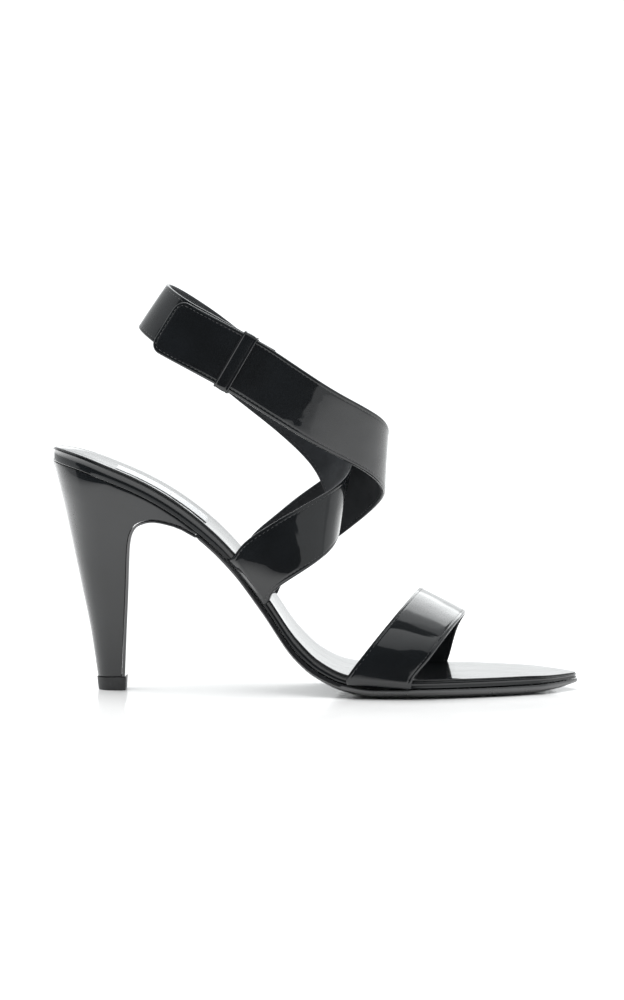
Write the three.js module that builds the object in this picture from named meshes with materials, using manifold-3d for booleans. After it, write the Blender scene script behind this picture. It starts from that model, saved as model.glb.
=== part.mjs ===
// High-heeled open-toe sandal, right shoe: a toe strap and two ankle straps that cross on the instep.
// Lengths are in millimetres. X runs from heel to toe, Y towards the shoe's inner side, Z up.
import * as THREE from 'three';
import { mergeVertices } from 'three/addons/utils/BufferGeometryUtils.js';
import Module from 'manifold-3d';

// The last
const insoleLength = 214;      // back of the seat to the toe tip, seen from above
const ballWidth = 75;          // widest place of the insole
const seatHeight = 94;         // floor to the insole's underside at the back of the heel
const seatRadius = 25;         // round back of the seat
const toeRadius = 17;          // round front of the toe
const archLift = 1.2;          // how much the waist's inner edge stands above its outer edge
const seatDish = 1.4;          // hollow of the seat and waist

// The bottom
const soleThickness = 3.9;     // outsole under the ball
const soleEdge = 1.5;          // upright edge of the outsole
const soleMargin = 0.9;        // how far the outsole stands out under the toe
const flapThickness = 1.2;     // outsole flap on the heel's breast
const insoleHeelThickness = 5.3;
const insoleToeThickness = 2.9;
const sockThickness = 0.9;
const sockInset = 2.2;
const labelLength = 37;
const labelWidth = 20;
const labelThickness = 0.4;
const labelBack = 26;          // heel's back to the label

// The heel
const heelTopLength = 60;      // length of the heel's top, under the seat
const topPieceHeight = 5.5;
const topPieceProud = 0.25;
const topPieceTaper = 0.6;     // how much narrower the top piece is at the floor
const topPieceCorner = 0.4;    // sloping corner at its tread
const heelRoundShare = 0.55;   // part of the heel's length that is round
const breastTurn = 2;          // degrees that the breast faces towards the outer side

// The straps
const strapWidth = 23;
const strapThickness = 1.8;
const skivedThickness = 1;     // thinned end between insole and outsole
const tuckLength = 7;          // length of that end
const tuckRoll = 1.2;          // how far a strap rolls out from the insole's edge
const ankleHalfWidth = 28;     // half width of the ankle loop
const collarHeight = 166;      // top of the ankle loop above the floor
const toeStrapHeight = 36;     // middle of the toe strap's crest above the floor
const flapCorner = 5;          // corner radius of the closure flap
const closureWidth = 23.6;     // width of the closure flap
const closureLength = 45.2;    // flap's end to the end of the inner strap
const closureDrop = 2;         // how much lower than the inner strap the flap's end lies
const keeperWidth = 6.3;
const keeperThickness = 0.8;
const keeperFromEnd = 35;      // flap's end to the keeper's middle

const clearance = 0.3;         // between pieces that lie against each other

const hair = 1e-6;             // lengths below this are nothing
const baseHeight = soleThickness + clearance;
const heelFoot = topPieceHeight + clearance;

// How finely the pieces are cut
const lastSections = 44;
const lastColumns = 8;
const toeStrapSections = 46;
const innerStrapSections = 72;
const outerStrapSections = 60;

// Plan and side shape of the last: a row for each section, from heel to toe.
// rise is a share of the seat's height above the ball, outer and inner are shares of the ball width.
const lastRows = [
  { forward: 0.000, rise: 1.000, outer: 0.290, inner: 0.316, lift: 0.0, dish: 1.0, board: 1.0 },
  { forward: 0.056, rise: 0.964, outer: 0.315, inner: 0.332, lift: 0.0, dish: 1.0, board: 1.0 },
  { forward: 0.112, rise: 0.914, outer: 0.328, inner: 0.338, lift: 0.0, dish: 1.0, board: 1.0 },
  { forward: 0.171, rise: 0.853, outer: 0.333, inner: 0.333, lift: 0.1, dish: 1.0, board: 1.0 },
  { forward: 0.231, rise: 0.771, outer: 0.331, inner: 0.316, lift: 0.4, dish: 1.0, board: 1.0 },
  { forward: 0.303, rise: 0.638, outer: 0.328, inner: 0.286, lift: 0.9, dish: 0.9, board: 1.0 },
  { forward: 0.355, rise: 0.512, outer: 0.328, inner: 0.274, lift: 1.0, dish: 0.8, board: 1.0 },
  { forward: 0.409, rise: 0.343, outer: 0.340, inner: 0.282, lift: 1.0, dish: 0.6, board: 0.95 },
  { forward: 0.470, rise: 0.142, outer: 0.385, inner: 0.315, lift: 0.7, dish: 0.4, board: 0.8 },
  { forward: 0.510, rise: 0.066, outer: 0.425, inner: 0.355, lift: 0.4, dish: 0.2, board: 0.35 },
  { forward: 0.560, rise: 0.018, outer: 0.475, inner: 0.415, lift: 0.1, dish: 0.0, board: 0.05 },
  { forward: 0.615, rise: 0.000, outer: 0.505, inner: 0.462, lift: 0.0, dish: 0.0, board: 0.0 },
  { forward: 0.670, rise: 0.000, outer: 0.510, inner: 0.490, lift: 0.0, dish: 0.0, board: 0.0 },
  { forward: 0.725, rise: 0.000, outer: 0.485, inner: 0.500, lift: 0.0, dish: 0.0, board: 0.0 },
  { forward: 0.780, rise: 0.000, outer: 0.438, inner: 0.492, lift: 0.0, dish: 0.0, board: 0.0 },
  { forward: 0.840, rise: 0.000, outer: 0.372, inner: 0.450, lift: 0.0, dish: 0.0, board: 0.0 },
  { forward: 0.895, rise: 0.000, outer: 0.290, inner: 0.380, lift: 0.0, dish: 0.0, board: 0.0 },
  { forward: 0.950, rise: 0.003, outer: 0.195, inner: 0.285, lift: 0.0, dish: 0.0, board: -0.25 },
  { forward: 1.000, rise: 0.008, outer: 0.085, inner: 0.145, lift: 0.0, dish: 0.0, board: -0.47 },
];

// Outsole from the heel's front to the toe: depth is a share of the thickness under the ball,
// flat is the share of the width that is flat underneath.
const soleRows = [
  { forward: 0.280, depth: 0.42, flat: 0.30, margin: 0.0 },
  { forward: 0.340, depth: 0.62, flat: 0.05, margin: 0.0 },
  { forward: 0.430, depth: 0.85, flat: 0.02, margin: 0.0 },
  { forward: 0.510, depth: 0.98, flat: 0.10, margin: 0.2 },
  { forward: 0.560, depth: 1.00, flat: 0.45, margin: 0.5 },
  { forward: 0.615, depth: 1.00, flat: 0.74, margin: 1.0 },
  { forward: 0.890, depth: 1.00, flat: 0.74, margin: 1.0 },
  { forward: 0.955, depth: 0.80, flat: 0.66, margin: 1.0 },
  { forward: 1.010, depth: 0.42, flat: 0.50, margin: 1.0 },
];

// Heel from its foot to the seat: back and breast as shares of the heel's top length and height,
// half as a share of the seat's radius, follow blends into the seat's own shape.
const heelRows = [
  { climb: 0.00, back: 0.300, backUp: 0.000, breast: 0.470, breastUp: 0.000, half: 0.250, follow: 0.00 },
  { climb: 0.20, back: 0.252, backUp: 0.218, breast: 0.487, breastUp: 0.217, half: 0.355, follow: 0.00 },
  { climb: 0.38, back: 0.198, backUp: 0.400, breast: 0.503, breastUp: 0.397, half: 0.465, follow: 0.00 },
  { climb: 0.52, back: 0.150, backUp: 0.558, breast: 0.512, breastUp: 0.510, half: 0.555, follow: 0.00 },
  { climb: 0.64, back: 0.112, backUp: 0.683, breast: 0.521, breastUp: 0.600, half: 0.645, follow: 0.02 },
  { climb: 0.74, back: 0.080, backUp: 0.785, breast: 0.540, breastUp: 0.668, half: 0.735, follow: 0.08 },
  { climb: 0.82, back: 0.054, backUp: 0.858, breast: 0.590, breastUp: 0.720, half: 0.805, follow: 0.22 },
  { climb: 0.89, back: 0.033, backUp: 0.915, breast: 0.705, breastUp: 0.743, half: 0.870, follow: 0.48 },
  { climb: 0.95, back: 0.015, backUp: 0.961, breast: 0.855, breastUp: 0.722, half: 0.930, follow: 0.78 },
  { climb: 1.00, back: 0.000, backUp: 1.000, breast: 1.000, breastUp: 0.670, half: 1.000, follow: 1.00 },
];

// Middle line of each strap: forward is a share of the insole's length, side of the half width,
// up of the height. lean and turn are the degrees by which the strap's width leans forward
// and turns inward from upright. wide is a share of the strap's width.
const innerStrapRows = [
  { forward: 0.391, side: -1.02, up: 0.313, lean: -31, turn: 6, wide: 1.00 },
  { forward: 0.433, side: -1.07, up: 0.350, lean: -29, turn: 8, wide: 1.00 },
  { forward: 0.489, side: -0.97, up: 0.394, lean: -18, turn: 8, wide: 1.00 },
  { forward: 0.535, side: -0.63, up: 0.433, lean: 0, turn: 5, wide: 1.02 },
  { forward: 0.554, side: -0.11, up: 0.473, lean: 12, turn: 0, wide: 1.04 },
  { forward: 0.546, side: 0.40, up: 0.530, lean: 24, turn: -4, wide: 1.02 },
  { forward: 0.527, side: 0.76, up: 0.595, lean: 36, turn: -6, wide: 1.00 },
  { forward: 0.468, side: 0.96, up: 0.670, lean: 42, turn: -5, wide: 1.00 },
  { forward: 0.374, side: 0.99, up: 0.767, lean: 41, turn: -3, wide: 1.00 },
  { forward: 0.290, side: 0.82, up: 0.859, lean: 38, turn: 0, wide: 0.97 },
  { forward: 0.224, side: 0.46, up: 0.921, lean: 36, turn: 0, wide: 0.95 },
  { forward: 0.194, side: 0.00, up: 0.945, lean: 34.5, turn: 0, wide: 0.93 },
  { forward: 0.203, side: -0.38, up: 0.932, lean: 33, turn: 0, wide: 0.94 },
  { forward: 0.238, side: -0.68, up: 0.901, lean: 31.5, turn: 0, wide: 0.96 },
  { forward: 0.304, side: -0.90, up: 0.852, lean: 30.5, turn: 0, wide: 1.00 },
  { forward: 0.402, side: -1.01, up: 0.780, lean: 30, turn: 0, wide: 1.00 },
];

const outerStrapRows = [
  { forward: 0.402, side: 0.93, up: 0.309, lean: -34, turn: -6, wide: 1.00 },
  { forward: 0.445, side: 1.04, up: 0.356, lean: -37, turn: -8, wide: 1.00 },
  { forward: 0.498, side: 1.02, up: 0.409, lean: -36, turn: -8, wide: 1.03 },
  { forward: 0.555, side: 0.79, up: 0.465, lean: -28, turn: -5, wide: 1.01 },
  { forward: 0.610, side: 0.38, up: 0.524, lean: -12, turn: -2, wide: 1.00 },
  { forward: 0.633, side: -0.07, up: 0.561, lean: 3, turn: 0, wide: 1.00 },
  { forward: 0.617, side: -0.52, up: 0.602, lean: 14, turn: 2, wide: 1.00 },
  { forward: 0.570, side: -0.88, up: 0.642, lean: 22, turn: 2, wide: 1.00 },
  { forward: 0.505, side: -1.10, up: 0.690, lean: 27, turn: 1, wide: 1.00 },
];

const toeStrapRows = [
  { forward: 0.630, side: -1.060, up: 0.300, lean: -84, turn: 2, wide: 1.10 },
  { forward: 0.658, side: -1.040, up: 0.500, lean: -76, turn: 8, wide: 1.04 },
  { forward: 0.695, side: -0.860, up: 0.765, lean: -69, turn: 18, wide: 1.00 },
  { forward: 0.724, side: -0.480, up: 0.940, lean: -65, turn: 24, wide: 1.00 },
  { forward: 0.740, side: -0.020, up: 1.000, lean: -64, turn: 24, wide: 1.00 },
  { forward: 0.742, side: 0.450, up: 0.960, lean: -65, turn: 20, wide: 1.00 },
  { forward: 0.728, side: 0.800, up: 0.790, lean: -68, turn: 14, wide: 1.00 },
  { forward: 0.712, side: 0.985, up: 0.540, lean: -76, turn: 6, wide: 1.04 },
  { forward: 0.700, side: 1.010, up: 0.300, lean: -84, turn: 2, wide: 1.10 },
];

const wasm = await Module();
wasm.setup();

// A smooth value between the rows of a table, without overshoot
function rowValue(rows, key, column, at) {
  const last = rows.length - 1;
  let low = 0;
  while (low < last - 1 && at > rows[low + 1][key]) {
    low += 1;
  }
  const steepness = (row) => {
    const next = rows[row + 1];
    return (next[column] - rows[row][column]) / (next[key] - rows[row][key]);
  };
  const slope = (row) => {
    if (row === 0) return steepness(0);
    if (row === last) return steepness(last - 1);
    const before = steepness(row - 1);
    const after = steepness(row);
    return before * after <= 0 ? 0 : (2 * before * after) / (before + after);
  };
  const span = rows[low + 1][key] - rows[low][key];
  const part = THREE.MathUtils.clamp((at - rows[low][key]) / span, 0, 1);
  const square = part * part;
  const cube = square * part;
  return rows[low][column] * (2 * cube - 3 * square + 1)
    + rows[low + 1][column] * (3 * square - 2 * cube)
    + slope(low) * span * (cube - 2 * square + part)
    + slope(low + 1) * span * (cube - square);
}

// A closed body from rings of as many points each; a ring's first half faces its second half
function loft(rings) {
  const points = [];
  const addTriangle = (a, b, c) => points.push(a.x, a.y, a.z, b.x, b.y, b.z, c.x, c.y, c.z);
  const addQuad = (a, b, c, d) => {
    addTriangle(a, b, c);
    addTriangle(a, c, d);
  };
  const count = rings[0].length;
  for (let ring = 0; ring + 1 < rings.length; ring += 1) {
    for (let i = 0; i < count; i += 1) {
      const next = (i + 1) % count;
      addQuad(rings[ring][i], rings[ring][next], rings[ring + 1][next], rings[ring + 1][i]);
    }
  }
  const first = rings[0];
  const end = rings[rings.length - 1];
  for (let i = 0; i + 1 < count / 2; i += 1) {
    addQuad(first[i], first[count - 1 - i], first[count - 2 - i], first[i + 1]);
    addQuad(end[i], end[i + 1], end[count - 2 - i], end[count - 1 - i]);
  }
  const geometry = new THREE.BufferGeometry();
  geometry.setAttribute('position', new THREE.Float32BufferAttribute(points, 3));
  return closed(geometry);
}

// The same body with shared corners, no collapsed triangles and its faces pointing out
function closed(geometry) {
  const merged = mergeVertices(geometry, 1e-3);
  const source = merged.index.array;
  const place = merged.attributes.position;
  const corner = [new THREE.Vector3(), new THREE.Vector3(), new THREE.Vector3()];
  const kept = [];
  let volume = 0;
  for (let i = 0; i < source.length; i += 3) {
    const [a, b, c] = [source[i], source[i + 1], source[i + 2]];
    if (a === b || b === c || c === a) continue;
    kept.push(a, b, c);
    corner[0].fromBufferAttribute(place, a);
    corner[1].fromBufferAttribute(place, b);
    corner[2].fromBufferAttribute(place, c);
    volume += corner[0].dot(corner[1].clone().cross(corner[2]));
  }
  if (volume < 0) {
    for (let i = 0; i < kept.length; i += 3) {
      [kept[i + 1], kept[i + 2]] = [kept[i + 2], kept[i + 1]];
    }
  }
  merged.setIndex(kept);
  return merged;
}

function toManifold(geometry) {
  return new wasm.Manifold(new wasm.Mesh({
    numProp: 3,
    vertProperties: new Float32Array(geometry.attributes.position.array),
    triVerts: new Uint32Array(geometry.index.array),
  }));
}

function fromManifold(body) {
  const mesh = body.getMesh();
  const geometry = new THREE.BufferGeometry();
  geometry.setAttribute('position', new THREE.BufferAttribute(new Float32Array(mesh.vertProperties), 3));
  geometry.setIndex(new THREE.BufferAttribute(new Uint32Array(mesh.triVerts), 1));
  return geometry;
}

function spread(from, to, count) {
  return Array.from({ length: count + 1 }, (_, i) => from + ((to - from) * i) / count);
}

// Places along the last, closer together towards both round ends
function lastStations(inset, count) {
  return spread(0, Math.PI, count).map((angle) => {
    const share = (1 - Math.cos(angle)) / 2;
    return inset + (insoleLength - 2 * inset) * share;
  });
}

// The edge of the last's plan; side is -1 outer and 1 inner, inset shrinks the whole outline
function planEdge(x, side, inset) {
  const share = x / insoleLength;
  const outer = ballWidth * rowValue(lastRows, 'forward', 'outer', share);
  const inner = ballWidth * rowValue(lastRows, 'forward', 'inner', share);
  const middle = (inner - outer) / 2;
  let half = (inner + outer) / 2 - inset;
  const roundings = [[x - inset, seatRadius - inset], [insoleLength - inset - x, toeRadius - inset]];
  for (const [distance, radius] of roundings) {
    if (distance < radius) {
      half *= distance < hair ? 0 : Math.sqrt(1 - ((radius - distance) / radius) ** 2);
    }
  }
  return middle + side * half;
}

// Height of the insole's underside; across runs from -1 at the outer edge to 1 at the inner edge
function insoleUnder(x, across) {
  const share = x / insoleLength;
  const rise = rowValue(lastRows, 'forward', 'rise', share);
  const lift = rowValue(lastRows, 'forward', 'lift', share);
  return baseHeight + rise * (seatHeight - baseHeight) + (archLift * lift * (1 + across)) / 2;
}

function insoleTop(x, across) {
  const share = x / insoleLength;
  const board = rowValue(lastRows, 'forward', 'board', share);
  const dish = rowValue(lastRows, 'forward', 'dish', share) * seatDish * (1 - across * across);
  const thickness = insoleToeThickness + board * (insoleHeelThickness - insoleToeThickness);
  return insoleUnder(x, across) + thickness - dish;
}

// Where y lies across the insole at x, from -1 at its outer edge to 1 at its inner edge
function acrossAt(x, y) {
  const outer = planEdge(x, -1, 0);
  const inner = planEdge(x, 1, 0);
  if (inner - outer < hair) return 1;
  return (2 * y - outer - inner) / (inner - outer);
}

// A layer between two heights over the last's plan
function lastLayer(inset, stations, columns, bottom, top) {
  const shares = spread(0, 1, columns);
  return loft(stations.map((x) => {
    const place = (share, height) => {
      const y = THREE.MathUtils.lerp(planEdge(x, -1, inset), planEdge(x, 1, inset), share);
      return new THREE.Vector3(x, y, height(x, acrossAt(x, y)));
    };
    const upper = shares.map((share) => place(share, top));
    const lower = shares.map((share) => place(share, bottom));
    return [...upper, ...lower.reverse()];
  }));
}

function insole() {
  return lastLayer(0, lastStations(0, lastSections), lastColumns, insoleUnder, insoleTop);
}

function sockLining() {
  const bottom = (x, across) => insoleTop(x, across) + clearance;
  const top = (x, across) => bottom(x, across) + sockThickness;
  return lastLayer(sockInset, lastStations(sockInset, lastSections), lastColumns, bottom, top);
}

function sockLabel() {
  const labelUnder = clearance + sockThickness + clearance;
  return loft(spread(labelBack, labelBack + labelLength, 6).map((x) => {
    const middle = (planEdge(x, 1, 0) + planEdge(x, -1, 0)) / 2;
    const place = (side, height) => {
      const y = middle + (side * labelWidth) / 2;
      return new THREE.Vector3(x, y, insoleTop(x, acrossAt(x, y)) + height);
    };
    const upper = spread(-1, 1, 4).map((side) => place(side, labelUnder + labelThickness));
    const lower = spread(-1, 1, 4).map((side) => place(side, labelUnder));
    return [...upper, ...lower.reverse()];
  }));
}

// A point of the heel's side: along runs from 0 at its back to 1 at its breast
function heelPoint(climb, along, side) {
  const value = (column) => rowValue(heelRows, 'climb', column, climb);
  const height = (share) => heelFoot + share * (insoleUnder(0, 0) - clearance - heelFoot);
  const seat = (part) => insoleUnder(part * heelTopLength, side) - clearance;
  const bulge = seat(along) - THREE.MathUtils.lerp(seat(0), seat(1), along);
  const chord = THREE.MathUtils.lerp(height(value('backUp')), height(value('breastUp')), along);
  const topChord = THREE.MathUtils.lerp(seat(0), seat(1), along);
  const follow = value('follow');
  const round = Math.sqrt(1 - (1 - Math.min(along / heelRoundShare, 1)) ** 2);
  const own = side * seatRadius * value('half') * round;
  const y = THREE.MathUtils.lerp(own, planEdge(along * heelTopLength, side, clearance), follow);
  const x = heelTopLength * THREE.MathUtils.lerp(value('back'), value('breast'), along);
  const z = climb === 1 ? topChord + bulge : chord + follow * bulge;
  const turned = along * y * Math.tan(THREE.MathUtils.degToRad(breastTurn)) * (1 - follow);
  return new THREE.Vector3(x + turned, y, z);
}

const heelAlong = [0, 0.012, 0.05, 0.11, 0.2, 0.32, 0.46, 0.62, 0.8, 0.94, 1];

function heel() {
  const climbs = [0, 0.1, 0.2, 0.3, 0.4, 0.5, 0.58, 0.66, 0.74, 0.79, 0.84, 0.88, 0.92, 0.96, 1];
  return loft(climbs.map((climb) => {
    const outerSide = heelAlong.map((along) => heelPoint(climb, along, -1));
    const innerSide = heelAlong.map((along) => heelPoint(climb, along, 1));
    return [...outerSide, ...innerSide.reverse()];
  }));
}

function heelTopPiece() {
  const back = heelTopLength * heelRows[0].back - topPieceProud;
  const front = heelTopLength * heelRows[0].breast + clearance + flapThickness + topPieceProud;
  const half = seatRadius * heelRows[0].half + topPieceProud;
  const levels = [
    { z: 0, taper: topPieceTaper + topPieceCorner },
    { z: topPieceCorner, taper: topPieceTaper },
    { z: topPieceHeight, taper: 0 },
  ];
  const edge = (level, along, side) => {
    const round = Math.sqrt(1 - (1 - Math.min(along / heelRoundShare, 1)) ** 2);
    const x = THREE.MathUtils.lerp(back + level.taper, front - level.taper / 2, along);
    return new THREE.Vector3(x, side * (half - level.taper / 2) * round, level.z);
  };
  return loft(levels.map((level) => {
    const outerSide = heelAlong.map((along) => edge(level, along, -1));
    const innerSide = heelAlong.map((along) => edge(level, along, 1));
    return [...outerSide, ...innerSide.reverse()];
  }));
}

// The outsole runs from the toe tip to the heel's front, then on as a flap down the heel's breast
function outsole() {
  const tip = insoleLength + soleMargin;
  const soleStart = heelTopLength;
  const stations = [];
  for (const even of spread(0, 1, lastSections)) {
    const x = tip - (tip - soleStart) * even ** 1.5;
    const value = (column) => rowValue(soleRows, 'forward', column, x / insoleLength);
    const inset = -soleMargin * value('margin');
    const onLast = Math.min(x, insoleLength);
    stations.push({
      outer: new THREE.Vector3(x, planEdge(x, -1, inset), insoleUnder(onLast, -1)),
      inner: new THREE.Vector3(x, planEdge(x, 1, inset), insoleUnder(onLast, 1)),
      depth: soleThickness * value('depth'),
      flat: value('flat'),
    });
  }
  for (const climb of [...spread(0.98, 0.83, 6), 0.8, 0.77, 0.72, 0.65, 0.5, 0.3, 0.1, 0]) {
    stations.push({
      outer: heelPoint(climb, 1, -1),
      inner: heelPoint(climb, 1, 1),
      depth: flapThickness,
      flat: 0.9,
    });
  }
  const middle = stations.map((station) => station.outer.clone().add(station.inner).multiplyScalar(0.5));
  const across = [-1, -0.985, -0.94, -0.86, -0.72, -0.45, 0, 0.45, 0.72, 0.86, 0.94, 0.985, 1];
  return loft(stations.map((station, i) => {
    const before = middle[Math.max(i - 1, 0)];
    const after = middle[Math.min(i + 1, middle.length - 1)];
    const ahead = after.clone().sub(before).setY(0).normalize();
    if (i === middle.length - 1) {
      ahead.set(0, 0, -1);
    }
    const down = new THREE.Vector3(-ahead.z, 0, ahead.x);
    const isFlap = i > lastSections;
    const edgeDepth = Math.min(isFlap ? flapThickness * 0.8 : soleEdge, station.depth * 0.9);
    const place = (v, deep) => {
      const point = station.outer.clone().lerp(station.inner, (v + 1) / 2);
      return point.addScaledVector(down, clearance + deep);
    };
    const crown = (v) => {
      const beyond = Math.max(0, (Math.abs(v) - station.flat) / (1 - station.flat));
      return edgeDepth + (station.depth - edgeDepth) * Math.sqrt(Math.max(0, 1 - beyond * beyond));
    };
    const upper = across.map((v) => place(v, 0));
    const lower = across.map((v) => place(v, crown(v)));
    return [...upper, ...lower.reverse()];
  }));
}

// One cross-section line of a strap, from its lower or front edge to its upper or back edge
function strapLine(x, y, z, lean, turn, width, thickness) {
  const tilt = THREE.MathUtils.degToRad(lean);
  const inward = THREE.MathUtils.degToRad(turn);
  const up = new THREE.Vector3(
    Math.cos(inward) * Math.sin(tilt),
    Math.sin(inward),
    Math.cos(inward) * Math.cos(tilt),
  );
  return { centre: new THREE.Vector3(x, y, z), up, width, thickness };
}

// The strap's end between insole and outsole, and its bend round the insole's edge
const tuckRows = [
  { inside: -1.00, outward: 0, above: 0.50, full: 0 },
  { inside: -0.07, outward: 0, above: 0.50, full: 0 },
  { inside: 0, outward: 0.70, above: 0.55, full: 0.25 },
  { inside: 0, outward: 1.35, above: 1.50, full: 0.66 },
  { inside: 0, outward: 1.70, above: 3.40, full: 1 },
];

function tuckLines(x, side, width) {
  const edgePoint = (at) => new THREE.Vector3(at, planEdge(at, side, 0), insoleUnder(at, side));
  const slope = Math.atan2(insoleUnder(x + 4, side) - insoleUnder(x - 4, side), 8);
  const run = (Math.cos(slope) * width) / 2;
  const back = edgePoint(x - run);
  const front = edgePoint(x + run);
  const edge = edgePoint(x);
  const up = back.clone().sub(front).normalize();
  const centre = back.clone().add(front).multiplyScalar(0.5);
  centre.y = edge.y;
  centre.z = Math.max(centre.z, edge.z);
  const away = new THREE.Vector3(-Math.sin(slope), 0, Math.cos(slope));
  const line = (outward, above, thickness) => ({
    centre: centre.clone().addScaledVector(away, above).add(new THREE.Vector3(0, side * outward, 0)),
    up: up.clone(),
    width,
    thickness,
  });
  return tuckRows.map((row) => line(
    row.inside * tuckLength + row.outward * tuckRoll,
    row.above * skivedThickness,
    THREE.MathUtils.lerp(skivedThickness, strapThickness, row.full),
  ));
}

function tableLines(rows, sideSize, heightSize) {
  return rows.map((row) => strapLine(
    row.forward * insoleLength,
    row.side * sideSize,
    row.up * heightSize,
    row.lean,
    row.turn,
    row.wide * strapWidth,
    strapThickness,
  ));
}

// A smooth strap through its lines, asked for by the distance along its middle
function strapPath(lines) {
  const columns = lines.map((line, at) => ({
    at,
    x: line.centre.x,
    y: line.centre.y,
    z: line.centre.z,
    upX: line.up.x,
    upY: line.up.y,
    upZ: line.up.z,
    width: line.width,
    thickness: line.thickness,
  }));
  const curve = new THREE.CatmullRomCurve3(lines.map((line) => line.centre), false, 'catmullrom', 0.5);
  const steps = (lines.length - 1) * 16;
  const dense = spread(0, lines.length - 1, steps).map((at, i) => {
    const value = (column) => rowValue(columns, 'at', column, at);
    return {
      centre: curve.getPoint(i / steps),
      up: new THREE.Vector3(value('upX'), value('upY'), value('upZ')).normalize(),
      width: value('width'),
      thickness: value('thickness'),
      distance: 0,
    };
  });
  for (let i = 1; i < dense.length; i += 1) {
    dense[i].distance = dense[i - 1].distance + dense[i].centre.distanceTo(dense[i - 1].centre);
  }
  const length = dense[dense.length - 1].distance;
  const at = (distance) => {
    let low = 0;
    while (low < dense.length - 2 && dense[low + 1].distance < distance) {
      low += 1;
    }
    const part = (distance - dense[low].distance) / (dense[low + 1].distance - dense[low].distance);
    return {
      centre: dense[low].centre.clone().lerp(dense[low + 1].centre, part),
      up: dense[low].up.clone().lerp(dense[low + 1].up, part).normalize(),
      width: THREE.MathUtils.lerp(dense[low].width, dense[low + 1].width, part),
      thickness: THREE.MathUtils.lerp(dense[low].thickness, dense[low + 1].thickness, part),
    };
  };
  return { length, at };
}

// The way out of a strap's face at a place along it, and across it from -1 to 1
function strapFacing(path, distance, across) {
  const step = 0.5;
  const edge = (at) => {
    const line = path.at(THREE.MathUtils.clamp(at, 0, path.length));
    return line.centre.addScaledVector(line.up, (across * line.width) / 2);
  };
  const ahead = edge(distance + step).sub(edge(distance - step)).normalize();
  return ahead.cross(path.at(distance).up).normalize();
}

// A strap's body: outward is 1 or -1, corner rounds its end, extra widens it and thickens it
// inside, and cover thickens it outside
function strapBody(path, distances, outward, corner = 0, extra = 0, cover = 0) {
  const across = [-1, -0.5, 0, 0.5, 1];
  return loft(distances.map((distance) => {
    const line = path.at(distance);
    const fromEnd = path.length - distance;
    let half = line.width / 2 + extra;
    if (fromEnd < corner) {
      half += Math.sqrt(Math.max(0, corner ** 2 - (corner - fromEnd) ** 2)) - corner;
    }
    const place = (v, out) => line.centre.clone()
      .addScaledVector(line.up, v * half)
      .addScaledVector(strapFacing(path, distance, v), outward * out);
    const outer = across.map((v) => place(v, line.thickness / 2 + cover));
    const inner = across.map((v) => place(v, -line.thickness / 2 - extra));
    return [...outer, ...inner.reverse()];
  }));
}

// Where the straps' ends lie along the insole, as shares of its length, and the toe strap's
// width there as a share of the strap's width
const innerTuck = 0.372;
const outerTuck = 0.381;
const toeOuterTuck = 0.622;
const toeInnerTuck = 0.692;
const toeTuckWide = 1.14;

const toeLines = [
  ...tuckLines(toeOuterTuck * insoleLength, -1, strapWidth * toeTuckWide),
  ...tableLines(toeStrapRows, ballWidth / 2, toeStrapHeight),
  ...tuckLines(toeInnerTuck * insoleLength, 1, strapWidth * toeTuckWide).reverse(),
];
const toePath = strapPath(toeLines);

const innerLines = [
  ...tuckLines(innerTuck * insoleLength, -1, strapWidth),
  ...tableLines(innerStrapRows, ankleHalfWidth, collarHeight),
];
const innerPath = strapPath(innerLines);

// The closure end of the outer strap lies on the inner strap's end
function closureLines() {
  return spread(0.1, 1, 5).map((share) => {
    const distance = innerPath.length - share * closureLength;
    const line = innerPath.at(distance);
    const facing = strapFacing(innerPath, distance, 0);
    const drop = closureDrop * (0.2 + 0.8 * share * share);
    line.centre.addScaledVector(facing, strapThickness + clearance).addScaledVector(line.up, -drop);
    line.width = closureWidth;
    return line;
  });
}

const outerLines = [
  ...tuckLines(outerTuck * insoleLength, 1, strapWidth),
  ...tableLines(outerStrapRows, ankleHalfWidth, collarHeight),
  ...closureLines(),
];
const outerPath = strapPath(outerLines);

// Places of each strap's sections along its path: few in the flat ends, more round the bends
const tuckSteps = [0, tuckLength * 0.6];
const bendStart = tuckLength * 0.93;
const endSteps = [1, 0.72, 0.45, 0.22, 0.07, 0].map((share) => outerPath.length - share * flapCorner);
const toeDistances = [
  ...tuckSteps,
  ...spread(bendStart, toePath.length - bendStart, toeStrapSections),
  ...tuckSteps.map((step) => toePath.length - step).reverse(),
];
const innerDistances = [...tuckSteps, ...spread(bendStart, innerPath.length, innerStrapSections)];
const outerDistances = [
  ...tuckSteps,
  ...spread(bendStart, outerPath.length - 2 * flapCorner, outerStrapSections),
  ...endSteps,
];

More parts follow.
